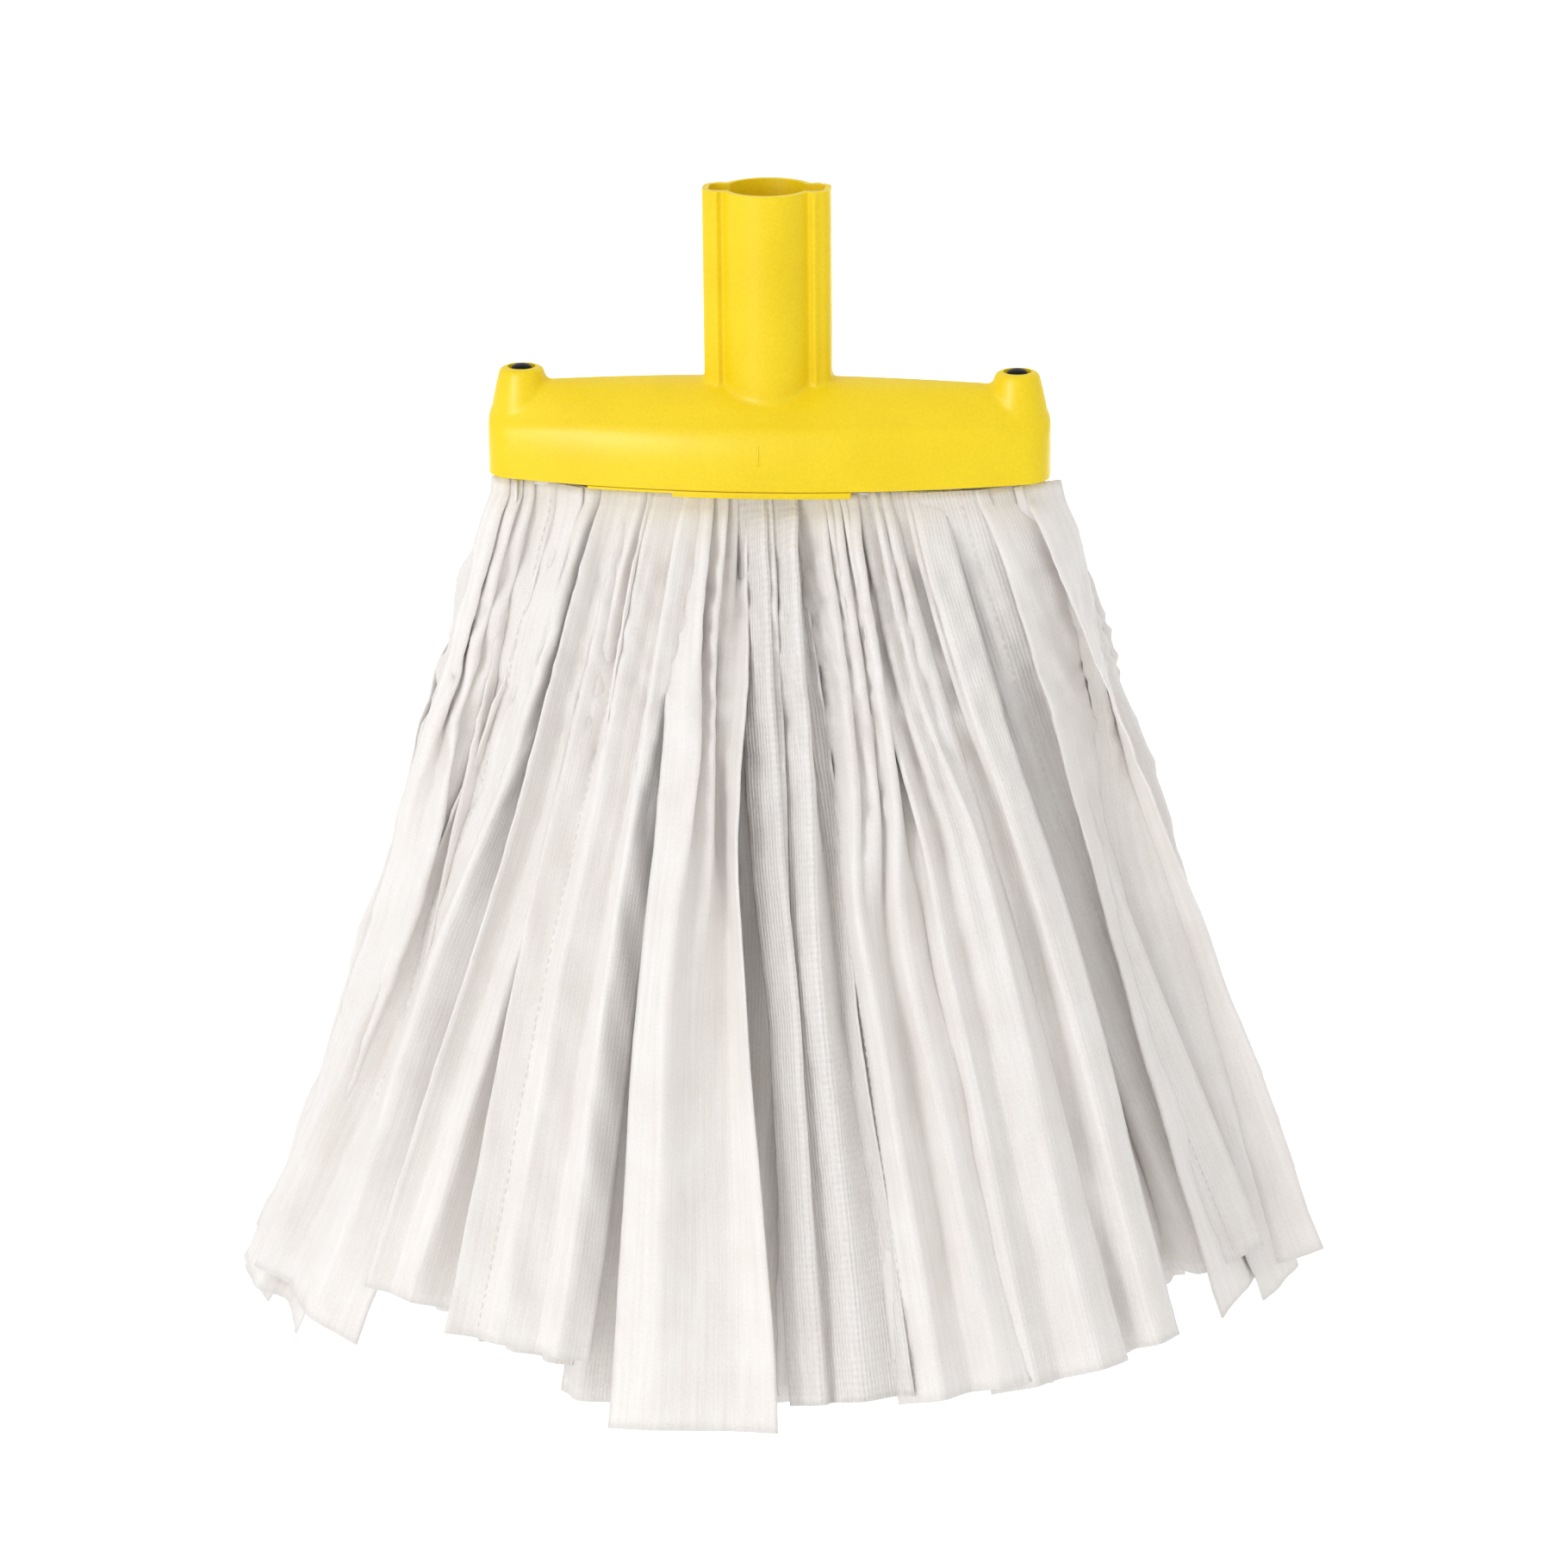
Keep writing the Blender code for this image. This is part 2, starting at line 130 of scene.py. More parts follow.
def moulded_plastic(name, light, base, deep, roughness):
    """Dyed polypropylene out of a textured mould."""
    made, tree, shader = new_material(name)
    place = add(tree, "ShaderNodeTexCoord").outputs["Object"]
    grain = add(tree, "ShaderNodeTexNoise", {"Vector": place, "Scale": 1 / GRAIN, "Detail": 3})
    flow = add(tree, "ShaderNodeTexNoise", {"Vector": place, "Scale": 1 / FLOW, "Detail": 2})
    speck = add(tree, "ShaderNodeTexNoise", {"Vector": place, "Scale": 0.45 / GRAIN, "Detail": 2})
    colour = ramp(tree, flow.outputs["Fac"],
                  [(0.3, linear(deep)), (0.5, linear(base)), (0.72, linear(light))])
    dust = ramp(tree, speck.outputs["Fac"], [(0.3, grey(0.93)), (0.7, grey(1.0))])
    mixed = add(tree, "ShaderNodeMix", {0: 1.0, 6: colour, 7: dust},
                data_type="RGBA", blend_type="MULTIPLY")
    tree.links.new(mixed.outputs[2], shader.inputs["Base Color"])
    rough = add(tree, "ShaderNodeMapRange", {
        "Value": grain.outputs["Fac"], "To Min": roughness - 0.05, "To Max": roughness + 0.08})
    tree.links.new(rough.outputs["Result"], shader.inputs["Roughness"])
    bump = add(tree, "ShaderNodeBump", {
        "Height": grain.outputs["Fac"], "Strength": 0.25, "Distance": 0.06 * MM})
    tree.links.new(bump.outputs["Normal"], shader.inputs["Normal"])
    shader.inputs["IOR"].default_value = 1.49
    shader.inputs["Specular IOR Level"].default_value = 0.35
    shader.inputs["Subsurface Weight"].default_value = 0.12
    shader.inputs["Subsurface Radius"].default_value = (1.0, 0.7, 0.15)
    shader.inputs["Subsurface Scale"].default_value = 1.5 * MM
    return made


head_plastic = moulded_plastic("polypropylene_yellow", "#f8da14", "#f5d60e", "#f2d208", 0.4)
frame_plastic = moulded_plastic("polypropylene_frame", "#f7d912", "#f4d50c", "#f0cf06", 0.45)

# %% [markdown]
# **Black rivet.** The rivet's head is steel with a black lacquer: dark, smooth, with a small
# sharp highlight. The washers under the tails are zinc plated, which is a metal with a fine
# crystal bloom in its roughness.

# %% Black lacquer and zinc


def black_lacquer():
    made, tree, shader = new_material("lacquer_black")
    place = add(tree, "ShaderNodeTexCoord").outputs["Object"]
    peel = add(tree, "ShaderNodeTexNoise", {"Vector": place, "Scale": 1 / (0.5 * MM)})
    colour = ramp(tree, peel.outputs["Fac"], [(0.3, linear("#020202")), (0.7, linear("#060606"))])
    tree.links.new(colour, shader.inputs["Base Color"])
    rough = add(tree, "ShaderNodeMapRange", {
        "Value": peel.outputs["Fac"], "To Min": 0.32, "To Max": 0.45})
    tree.links.new(rough.outputs["Result"], shader.inputs["Roughness"])
    bump = add(tree, "ShaderNodeBump", {
        "Height": peel.outputs["Fac"], "Strength": 0.2, "Distance": 0.03 * MM})
    tree.links.new(bump.outputs["Normal"], shader.inputs["Normal"])
    shader.inputs["Specular IOR Level"].default_value = 0.15
    return made


def zinc_plate():
    made, tree, shader = new_material("zinc_plate")
    place = add(tree, "ShaderNodeTexCoord").outputs["Object"]
    bloom = add(tree, "ShaderNodeTexVoronoi", {"Vector": place, "Scale": 1 / (0.8 * MM)})
    colour = ramp(tree, bloom.outputs["Distance"],
                  [(0.0, linear("#c9ccd0")), (0.8, linear("#a8adb3"))])
    tree.links.new(colour, shader.inputs["Base Color"])
    rough = add(tree, "ShaderNodeMapRange", {
        "Value": bloom.outputs["Distance"], "To Min": 0.28, "To Max": 0.45})
    tree.links.new(rough.outputs["Result"], shader.inputs["Roughness"])
    shader.inputs["Metallic"].default_value = 1.0
    return made


lacquer = black_lacquer()
zinc = zinc_plate()

# %% [markdown]
# **Nonwoven cloth.** The strips are cut from viscose and polyester fibre, carded into a web and
# stitch bonded: rows of fine stitches, about a millimetre apart, run along the cloth and leave
# soft ribs. Fibres lie mostly along the strip. It is matt, white, and a little light passes
# through a single layer. The pattern reads the strip's own UV map, which is in millimetres, so
# it follows every fold.

# %% Nonwoven cloth

RIB_PITCH = 1.1            # mm between rows of stitches
STITCH_PITCH = 1.9         # mm between the stitches in a row
FIBRE = 0.45               # mm, drawn coarser than the real 0.02 mm fibre so that it shows
STREAK = 1.5               # mm between thick and thin bands of the web
CLOUD = 16.0               # mm across the web's cloudy patches
WAVE_PERIOD = math.pi / 10  # what a Wave texture of scale 1 repeats in


def nonwoven(name, rib_depth, light="#f4f1ee", shade="#e7e0db"):
    """Stitch-bonded nonwoven; rib_depth is from 0, felted smooth, to 1, plainly ribbed."""
    made, tree, shader = new_material(name)
    strip = add(tree, "ShaderNodeUVMap", uv_map="strip_mm").outputs["UV"]
    along = add(tree, "ShaderNodeMapping", {"Vector": strip, "Scale": (1.0, 0.16, 1.0)})
    fibre = add(tree, "ShaderNodeTexNoise", {
        "Vector": along.outputs["Vector"], "Scale": 1 / FIBRE, "Detail": 4, "Roughness": 0.7})
    felt = add(tree, "ShaderNodeTexNoise", {
        "Vector": strip, "Scale": 0.7 / FIBRE, "Detail": 3, "Roughness": 0.75})
    thin = add(tree, "ShaderNodeMapping", {"Vector": strip, "Scale": (1.0, 0.03, 1.0)})
    streak = add(tree, "ShaderNodeTexNoise", {
        "Vector": thin.outputs["Vector"], "Scale": 1 / STREAK, "Detail": 3})
    cloud = add(tree, "ShaderNodeTexNoise", {"Vector": strip, "Scale": 1 / CLOUD, "Detail": 2})
    ribs = add(tree, "ShaderNodeTexWave", {
        "Vector": strip, "Scale": WAVE_PERIOD / RIB_PITCH, "Distortion": 0.6, "Detail": 1},
        bands_direction="X")
    stitches = add(tree, "ShaderNodeTexWave", {
        "Vector": strip, "Scale": WAVE_PERIOD / STITCH_PITCH, "Distortion": 1.5, "Detail": 1},
        bands_direction="Y")
    knit = add(tree, "ShaderNodeMath", {0: ribs.outputs["Fac"], 1: stitches.outputs["Fac"]},
               operation="MULTIPLY")
    knitted = add(tree, "ShaderNodeMath", {0: ribs.outputs["Fac"], 1: knit.outputs[0]},
                  operation="ADD")
    tone = add(tree, "ShaderNodeMath", {
        0: streak.outputs["Fac"], 1: 0.34, 2: 0.0}, operation="MULTIPLY_ADD")
    tone = add(tree, "ShaderNodeMath", {
        0: cloud.outputs["Fac"], 1: 0.25, 2: tone.outputs[0]}, operation="MULTIPLY_ADD")
    tone = add(tree, "ShaderNodeMath", {
        0: felt.outputs["Fac"], 1: 0.41, 2: tone.outputs[0]}, operation="MULTIPLY_ADD")
    colour = ramp(tree, tone.outputs[0], [(0.36, linear(shade)), (0.62, linear(light))])
    tree.links.new(colour, shader.inputs["Base Color"])
    fibres = add(tree, "ShaderNodeBump", {
        "Height": fibre.outputs["Fac"], "Strength": 0.5, "Distance": 0.12 * MM})
    felted = add(tree, "ShaderNodeBump", {
        "Height": felt.outputs["Fac"], "Strength": 0.6, "Distance": 0.22 * MM,
        "Normal": fibres.outputs["Normal"]})
    ribbed = add(tree, "ShaderNodeBump", {
        "Height": knitted.outputs[0], "Strength": rib_depth, "Distance": 0.22 * MM,
        "Normal": felted.outputs["Normal"]})
    tree.links.new(ribbed.outputs["Normal"], shader.inputs["Normal"])
    shader.inputs["Roughness"].default_value = 0.95
    shader.inputs["Specular IOR Level"].default_value = 0.25
    shader.inputs["Sheen Weight"].default_value = 0.25
    shader.inputs["Sheen Roughness"].default_value = 0.6
    shader.inputs["Subsurface Weight"].default_value = 0.35
    shader.inputs["Subsurface Radius"].default_value = (1.0, 0.97, 0.94)
    shader.inputs["Subsurface Scale"].default_value = 1.6 * MM
    return made


cloth_kinds = [
    nonwoven("nonwoven_felted", 0.12),
    nonwoven("nonwoven_light_rib", 0.35),
    nonwoven("nonwoven_ribbed", 0.8),
]
thread = nonwoven("polyester_thread", 0.0, "#f7f5f3", "#dcd6d2")
print("materials:", [m.name for m in cloth_kinds])

# %% [markdown]
# ## The moulded head
#
# The real head is one moulding: a boat-shaped body, a round socket tube with a flat wing at each
# side, and a cone at each end for a rivet. Where they meet, the mould has soft fillets. Beveling
# such meeting lines is hard, so the solids are laid through each other, remeshed into one skin,
# and smoothed, which fillets every corner at once. What has to stay crisp, such as the
# socket's mouth, the hollow and the lower edge, is cut after that.

# %% The head's sizes, from the frame
HEAD_LOW, HEAD_HIGH = (Vector(corner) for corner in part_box("head_moulding"))
SKIRT_Z = HEAD_LOW.z
HALF_LENGTH = HEAD_HIGH.x
HALF_DEPTH = HEAD_HIGH.y
PARABOLA = 98 * MM         # where the curved sides would meet
END_ROUND = 6 * MM
CREST = 17.0 * MM          # heights above the skirt's lower edge
RIDGE = 26 * MM
END_HEIGHT = 13.6 * MM
ROOF_FLAT = 54 * MM
WALL = 2 * MM
RIVET_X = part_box("right_rivet")[0][0] / 2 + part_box("right_rivet")[1][0] / 2
TUBE_RADIUS = 12.5 * MM
BORE_RADIUS = 10.8 * MM
BORE_DEPTH = 60 * MM
WING_HALF = (17 * MM, 5.75 * MM)
WING_WALL = 1.7 * MM
BEAD_RADIUS = 0.9 * MM
BEAD_AT = (12.9 * MM, 5.9 * MM)
POST_TOP = SKIRT_Z + 28 * MM
RECESS_DEPTH = 1.6 * MM    # for the rivet's head, in the top of the post
print(f"head {2 * HALF_LENGTH / MM:.0f} x {2 * HALF_DEPTH / MM:.0f} mm, skirt at {SKIRT_Z / MM:.0f}")

# %% Outline and section of the body


def skirt_half_depth(x, inset=0.0):
    """Half the skirt's depth at x, for an outline inset from the skirt's own."""
    rounding = max(END_ROUND - inset, 2 * MM)
    depth = HALF_DEPTH * (1 - (x / PARABOLA) ** 2) - inset
    into_corner = abs(x) - (HALF_LENGTH - inset - rounding)
    if into_corner > 0:
        depth += math.sqrt(max(rounding ** 2 - into_corner ** 2, 0)) - rounding
    return depth


def ridge_height(x):
    past = max(abs(x) - ROOF_FLAT, 0) / (HALF_LENGTH - ROOF_FLAT)
    fall = 1 - math.sqrt(max(1 - past ** 2, 0))
    crown = RIDGE - 1.2 * MM * min(abs(x) / ROOF_FLAT, 1) ** 2
    return crown - (crown - END_HEIGHT - 1 * MM) * fall


def crest_height(x):
    share = (abs(x) / HALF_LENGTH) ** 4
    return CREST * (1 - share) + END_HEIGHT * share


def smooth_through(points, count):
    """count points on a Catmull-Rom curve through the given (y, z) points."""
    p = np.array([points[0], *points, points[-1]], float)
    spans = len(points) - 1
    made = []
    for i in range(count):
        s = min(i / (count - 1) * spans, spans - 1e-9)
        k, t = int(s), s - int(s)
        a, b, c, d = p[k:k + 4]
        made.append(0.5 * (2 * b + (c - a) * t + (2 * a - 5 * b + 4 * c - d) * t ** 2
                           + (3 * b - a - 3 * c + d) * t ** 3))
    return made


def body_section(x, inset, bottom):
    """The body's outline at x, from its front foot over the ridge to its back foot."""
    depth = skirt_half_depth(x, inset)
    crest = crest_height(x) - inset
    ridge = max(ridge_height(x) - inset * 1.15, crest + 0.4 * MM)
    rise = ridge - crest
    half = smooth_through([
        (depth, 0), (depth, crest * 0.42), (depth * 0.965, crest * 0.72),
        (depth * 0.90, crest * 0.93), (depth * 0.81, crest * 1.02),
        (depth * 0.56, crest + rise * 0.50), (depth * 0.28, crest + rise * 0.87), (0, ridge),
    ], 26)
    front = [(x, -depth, SKIRT_Z + bottom)] + [(x, -y, SKIRT_Z + z) for y, z in half]
    back = [(x, -p[1], p[2]) for p in reversed(front[:-1])]
    return front + back


def skin(name, rings):
    """A closed mesh through rings of points, with flat ends, facing outwards."""
    bm = bmesh.new()
    rows = [[bm.verts.new(p) for p in ring] for ring in rings]
    count = len(rows[0])
    for low, high in zip(rows, rows[1:]):
        for i in range(count):
            j = (i + 1) % count
            bm.faces.new((low[i], low[j], high[j], high[i]))
    bm.faces.new(rows[0])
    bm.faces.new(rows[-1])
    return finished_mesh(name, bm)


def finished_mesh(name, bm):
    bmesh.ops.recalc_face_normals(bm, faces=bm.faces)
    mesh = bpy.data.meshes.new(name)
    bm.to_mesh(mesh)
    bm.free()
    return mesh


def body_mesh(name, inset, bottom):
    end = HALF_LENGTH - inset
    turns = [math.pi / 2 * i / 30 for i in range(-30, 31)]
    return skin(name, [body_section(end * math.sin(t), inset, bottom) for t in turns])


# %% Tube, wings and posts


def turned(name, profile, x=0.0, segments=64):
    """Rings of (radius, z) turned about an upright axis at (x, 0), top to bottom."""
    rings = []
    for radius, z in profile:
        turns = [2 * math.pi * i / segments for i in range(segments)]
        rings.append([(x + radius * math.cos(t), radius * math.sin(t), z) for t in turns])
    return skin(name, rings)


def wing_ring(half_width, half_depth, rounding, z, steps=8):
    ring = []
    for sx, sy, start in ((1, -1, -90), (1, 1, 0), (-1, 1, 90), (-1, -1, 180)):
        for step in range(steps + 1):
            turn = math.radians(start + 90 * step / steps)
            ring.append((sx * (half_width - rounding) + rounding * math.cos(turn),
                         sy * (half_depth - rounding) + rounding * math.sin(turn), z))
    return ring


def wing_block(name, half_width, half_depth, rounding, low, high):
    return skin(name, [wing_ring(half_width, half_depth, rounding, z) for z in (low, high)])


def post(name, side):
    """A cone whose foot spreads into the roof, and whose top is nearly flat."""
    profile = [(2.0, 28.0), (4.7, 27.95), (5.8, 27.4), (6.2, 26.2), (6.9, 23.5), (7.7, 20.0),
               (8.4, 16.0), (8.8, 11.0), (8.8, 8.0)]
    return turned(name, [(r * MM, SKIRT_Z + z * MM) for r, z in profile], side * RIVET_X)


def saddle(name, side):
    """The post's foot on the ridge side, where it runs out into the roof: an oval flare."""
    profile = [(4.5, 24.9), (5.4, 24.0), (6.8, 23.2), (8.6, 22.5), (10.8, 21.8), (10.8, 14.0)]
    mesh = turned(name, [(r * MM, SKIRT_Z + z * MM) for r, z in profile],
                  side * (RIVET_X - 2.6 * MM))
    outermost = RIVET_X + 4 * MM
    for vertex in mesh.vertices:
        vertex.co.x = side * min(side * vertex.co.x, outermost)
        vertex.co.y *= 0.55
    return mesh


def bead(name, sx, sy):
    """A thin round rib in the corner between a wing and the tube."""
    mesh = turned(name, [(BEAD_RADIUS, SPARE), (BEAD_RADIUS, -55 * MM)], sx * BEAD_AT[0], 16)
    for vertex in mesh.vertices:
        vertex.co.y += sy * BEAD_AT[1]
    return mesh


def object_from(name, mesh, *materials):
    made = bpy.data.objects.new(name, mesh)
    bpy.context.scene.collection.objects.link(made)
    for material in materials:
        mesh.materials.append(material)
    return made


def joined(name, meshes):
    """One mesh made of all the given ones, which are then removed."""
    bm = bmesh.new()
    for mesh in meshes:
        bm.from_mesh(mesh)
        bpy.data.meshes.remove(mesh)
    whole = bpy.data.meshes.new(name)
    bm.to_mesh(whole)
    bm.free()
    return whole


def shade(ob, degrees):
    """Smooth shading, with an edge kept where faces meet at more than the angle."""
    ob.data.shade_smooth()
    ob.data.set_sharp_from_angle(angle=math.radians(degrees))


def applied(ob):
    """ob with its modifiers turned into plain mesh."""
    graph = bpy.context.evaluated_depsgraph_get()
    mesh = bpy.data.meshes.new_from_object(ob.evaluated_get(graph))
    ob.modifiers.clear()
    ob.data = mesh
    return ob


def cut(ob, *meshes):
    """Cuts each mesh out of ob. The manifold solver is quick and keeps the cut edges crisp."""
    tools = [object_from("cut_" + mesh.name, mesh) for mesh in meshes]
    for tool in tools:
        step = ob.modifiers.new("cut", "BOOLEAN")
        step.operation = "DIFFERENCE"
        step.solver = "MANIFOLD"
        step.object = tool
    applied(ob)
    for tool in tools:
        bpy.data.objects.remove(tool)
    return ob


# %% One skin over body, tube, wings and posts
VOXEL = 0.56 * MM
FILLETS_BELOW = -50 * MM   # the roof's and the posts' fillets are wide, the tube's are small
SPARE = 4 * MM             # added above the mouth and below the skirt, and cut off again


def head_skin():
    """The solids laid through each other, remeshed as one skin and smoothed."""
    meshes = [
        body_mesh("body", 0.0, -SPARE),
        turned("tube", [(TUBE_RADIUS, SPARE), (TUBE_RADIUS, -60 * MM)]),
        wing_block("wings", *WING_HALF, 3.6 * MM, -57 * MM, SPARE),
        post("left_post", -1),
        post("right_post", 1),
        saddle("left_saddle", -1),
        saddle("right_saddle", 1),
        *(bead("bead", sx, sy) for sx in (-1, 1) for sy in (-1, 1)),
    ]
    ob = object_from("moulded_head", joined("moulded_head", meshes))
    remesh = ob.modifiers.new("one_skin", "REMESH")
    remesh.mode = "VOXEL"
    remesh.voxel_size = VOXEL
    applied(ob)
    low = ob.vertex_groups.new(name="low")
    weights = np.array([v.co.z for v in ob.data.vertices])
    weights = np.clip((FILLETS_BELOW - weights) / (4 * MM), 0, 1)
    for index, weight in enumerate(weights):
        low.add([index], float(weight), "REPLACE")
    for name, rounds, group in (("small_fillets", 2, ""), ("wide_fillets", 12, "low")):
        smoothing = ob.modifiers.new(name, "SMOOTH")
        smoothing.factor = 0.5
        smoothing.iterations = rounds
        smoothing.vertex_group = group
    return applied(ob)


moulded_head = head_skin()
print("head skin:", len(moulded_head.data.polygons), "faces")

# %% Cut the mouth, the hollow and the rivet holes


def slab(name, low, high):
    bm = bmesh.new()
    bmesh.ops.create_cube(bm, size=1)
    for v in bm.verts:
        v.co = [low[i] if v.co[i] < 0 else high[i] for i in range(3)]
    return finished_mesh(name, bm)


REACH = 0.1                # past everything, for cuts that trim a whole side
cut(moulded_head,
    slab("above_mouth", (-REACH, -REACH, 0), (REACH, REACH, REACH)),
    slab("below_skirt", (-REACH, -REACH, SKIRT_Z - REACH), (REACH, REACH, SKIRT_Z)))
hollow = object_from("hollow", body_mesh("hollow", WALL, -SPARE))
boss = [turned("boss", [(TUBE_RADIUS, 0), (TUBE_RADIUS, -BORE_DEPTH - 2.5 * MM)]),
        *(turned("foot", [(5 * MM, SKIRT_Z + 15 * MM), (5 * MM, SKIRT_Z + 8 * MM)], s * RIVET_X)
          for s in (-1, 1)),
        *(post("solid_post", s) for s in (-1, 1))]
cut(hollow, *boss)
hollow_mesh = hollow.data
bpy.data.objects.remove(hollow)
cut(moulded_head, hollow_mesh)
cut(moulded_head,
    turned("bore", [(BORE_RADIUS, 1 * MM), (BORE_RADIUS, -BORE_DEPTH)]),
    wing_block("wing_hollow", WING_HALF[0] - WING_WALL, WING_HALF[1] - WING_WALL, 2 * MM,
               -48 * MM, 1 * MM),
    *(turned("recess", [(3.7 * MM, POST_TOP + 1 * MM), (3.7 * MM, POST_TOP - RECESS_DEPTH)],
             s * RIVET_X) for s in (-1, 1)),
    *(turned("hole", [(1.8 * MM, POST_TOP), (1.8 * MM, SKIRT_Z)], s * RIVET_X, 32)
      for s in (-1, 1)))
moulded_head.data.materials.clear()
moulded_head.data.materials.append(head_plastic)
shade(moulded_head, 40)
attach(moulded_head, "head")
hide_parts("head_moulding")
print("moulded head:", len(moulded_head.data.polygons), "faces")

# %% Gate mark
# A low upright ridge on the front, where the plastic entered the mould. Rays find the surface
# that it stands on.
GATE_X, GATE_HALF_WIDTH, GATE_PROUD = -1.2 * MM, 0.3 * MM, 0.22 * MM
GATE_HEIGHTS = np.linspace(-70.0, -64.6, 10) * MM
surface_of_head = BVHTree.FromObject(moulded_head, bpy.context.evaluated_depsgraph_get())
gate_rings = []
for number, z in enumerate(GATE_HEIGHTS.tolist()):
    hit = surface_of_head.ray_cast(Vector((GATE_X, -0.1, z)), Vector((0, 1, 0)))[0]
    size = math.sin(math.pi * (number + 0.6) / (len(GATE_HEIGHTS) + 0.2)) ** 0.4
    gate_rings.append([(hit.x + size * GATE_HALF_WIDTH * math.cos(t),
                        hit.y - size * GATE_PROUD * math.sin(t), z)
                       for t in [math.radians(a) for a in range(0, 360, 30)]])
gate_mark = object_from("gate_mark", skin("gate_mark", gate_rings), head_plastic)
gate_mark.data.shade_smooth()
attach(gate_mark, "head")
print("gate mark:", len(gate_mark.data.polygons), "faces")

# %% [markdown]
# ## The clamp frame, rivets and washers
#
# The clamp frame presses the stitched middle of the strips up into the head. Its shape in the
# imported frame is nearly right, so a copy of it is used: the lip that shows below the skirt is
# made a little shallower, and the sharp edges are broken, as on any moulded part. The rivets are
# turned: a low dome on a shank, and a tail that was peened flat over its washer. The washers
# keep their own mesh, and get a zinc finish.

# %% Clamp frame


def copied_node(name, new_name):
    """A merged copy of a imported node's mesh, as an object of its own."""
    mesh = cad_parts[name].data.copy()
    mesh.name = new_name
    bm = bmesh.new()
    bm.from_mesh(mesh)
    bmesh.ops.remove_doubles(bm, verts=bm.verts, dist=0.001 * MM)
    bmesh.ops.dissolve_limit(bm, angle_limit=math.radians(1), verts=bm.verts, edges=bm.edges)
    bm.to_mesh(mesh)
    bm.free()
    mesh.materials.clear()
    return object_from(new_name, mesh)


LIP_SHARE = 0.7            # the moulded lip's height below the skirt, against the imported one
moulded_frame = copied_node("clamp_frame", "moulded_clamp_frame")
for vertex in moulded_frame.data.vertices:
    if vertex.co.z < SKIRT_Z:
        vertex.co.z = SKIRT_Z + (vertex.co.z - SKIRT_Z) * LIP_SHARE
edges = moulded_frame.modifiers.new("broken_edges", "BEVEL")
edges.width = 0.45 * MM
edges.segments = 3
edges.limit_method = "ANGLE"
applied(moulded_frame)
moulded_frame.data.materials.append(frame_plastic)
shade(moulded_frame, 35)
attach(moulded_frame, "head")
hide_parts("clamp_frame")
print("clamp frame:", len(moulded_frame.data.polygons), "faces")

# %% Rivets and washers
DOME_PROUD = 0.4 * MM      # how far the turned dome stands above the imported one

for side, where in ((-1, "left"), (1, "right")):
    low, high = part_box(f"{where}_rivet")
    seat = POST_TOP - RECESS_DEPTH
    dome_height = high.z + DOME_PROUD - seat
    head = [(2.7 * MM * math.cos(t), seat + dome_height * (0.5 + 0.5 * math.sin(t)))
            for t in [math.radians(a) for a in range(88, -1, -8)]]
    tail_top = low.z + 1.6 * MM
    profile = [*head, (2.65 * MM, seat), (1.5 * MM, seat), (1.5 * MM, tail_top),
               (2.6 * MM, tail_top), (2.9 * MM, tail_top - 0.5 * MM), (2.3 * MM, low.z + 0.3 * MM),
               (1.2 * MM, low.z)]
    rivet = object_from(f"{where}_rivet_turned", turned("rivet", profile, side * RIVET_X, 48),
                        lacquer)
    shade(rivet, 35)
    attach(rivet, "head")
    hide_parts(f"{where}_rivet")
    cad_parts[f"{where}_washer"].material_slots[0].material = zinc
print("rivets and washers done")

# %% [markdown]
# ## The strips
#
# Each strip is one flat piece of cloth, 46 mm wide, that hangs from under the head. Up there it
# is squeezed into pleats, and on its way down the pleats open into a few broad facets, as in a
# pleated skirt. A cloth simulation finds such shapes, but slowly, and rarely keeps folds crisp.
# Cloth that is creased along its length is simple to describe instead: walk across the strip,
# and at each point say how far it leans out of the plane of the strip. Adding up those short
# steps gives a section whose length is always the cloth's real width, so no fold stretches it.
#
# A section is made for each station down the strip. How hard it leans is solved for, so that
# the folded strip is as wide as its room in the fan there.

# %% Where a strip hangs
STRIP_WIDTH = 46.0         # mm, flat
CLOTH_THICKNESS = 0.7      # mm


def slab_ends(name):
    """Centre and width direction of a packed strip's slab at its root and at its hem, in mm."""
    points = np.array([v.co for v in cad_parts[name].data.vertices]) / MM
    found = []
    for z in (points[:, 2].max(), points[:, 2].min()):
        corners = np.unique(points[np.abs(points[:, 2] - z) < 0.01].round(3), axis=0)
        centre = corners.mean(axis=0)
        across = np.linalg.svd(corners[:, :2] - centre[:2])[2][0]
        found.append((centre, np.array([*across, 0.0])))
    (root, root_across), (hem, hem_across) = found
    out = hem - root
    for across in (root_across, hem_across):
        if across[1] * out[0] - across[0] * out[1] < 0:
            across *= -1
    return root, root_across, hem, hem_across


def ease(x, start, end):
    """A smooth step from 0 at start to 1 at end."""
    t = np.clip((x - start) / (end - start), 0, 1)
    return t * t * (3 - 2 * t)


def ripples(rng, u, v, wave_u, wave_v, count=7):
    """Gentle random relief, near -1 to 1, with waves about wave_u by wave_v mm."""
    total = 0
    for _ in range(count):
        fu = rng.normal(0, 1) / wave_u
        fv = rng.normal(0, 1) / wave_v
        total = total + np.cos(2 * math.pi * (fu * u + fv * v) + rng.uniform(0, 2 * math.pi))
    return total / math.sqrt(count)


# %% Plan the folds


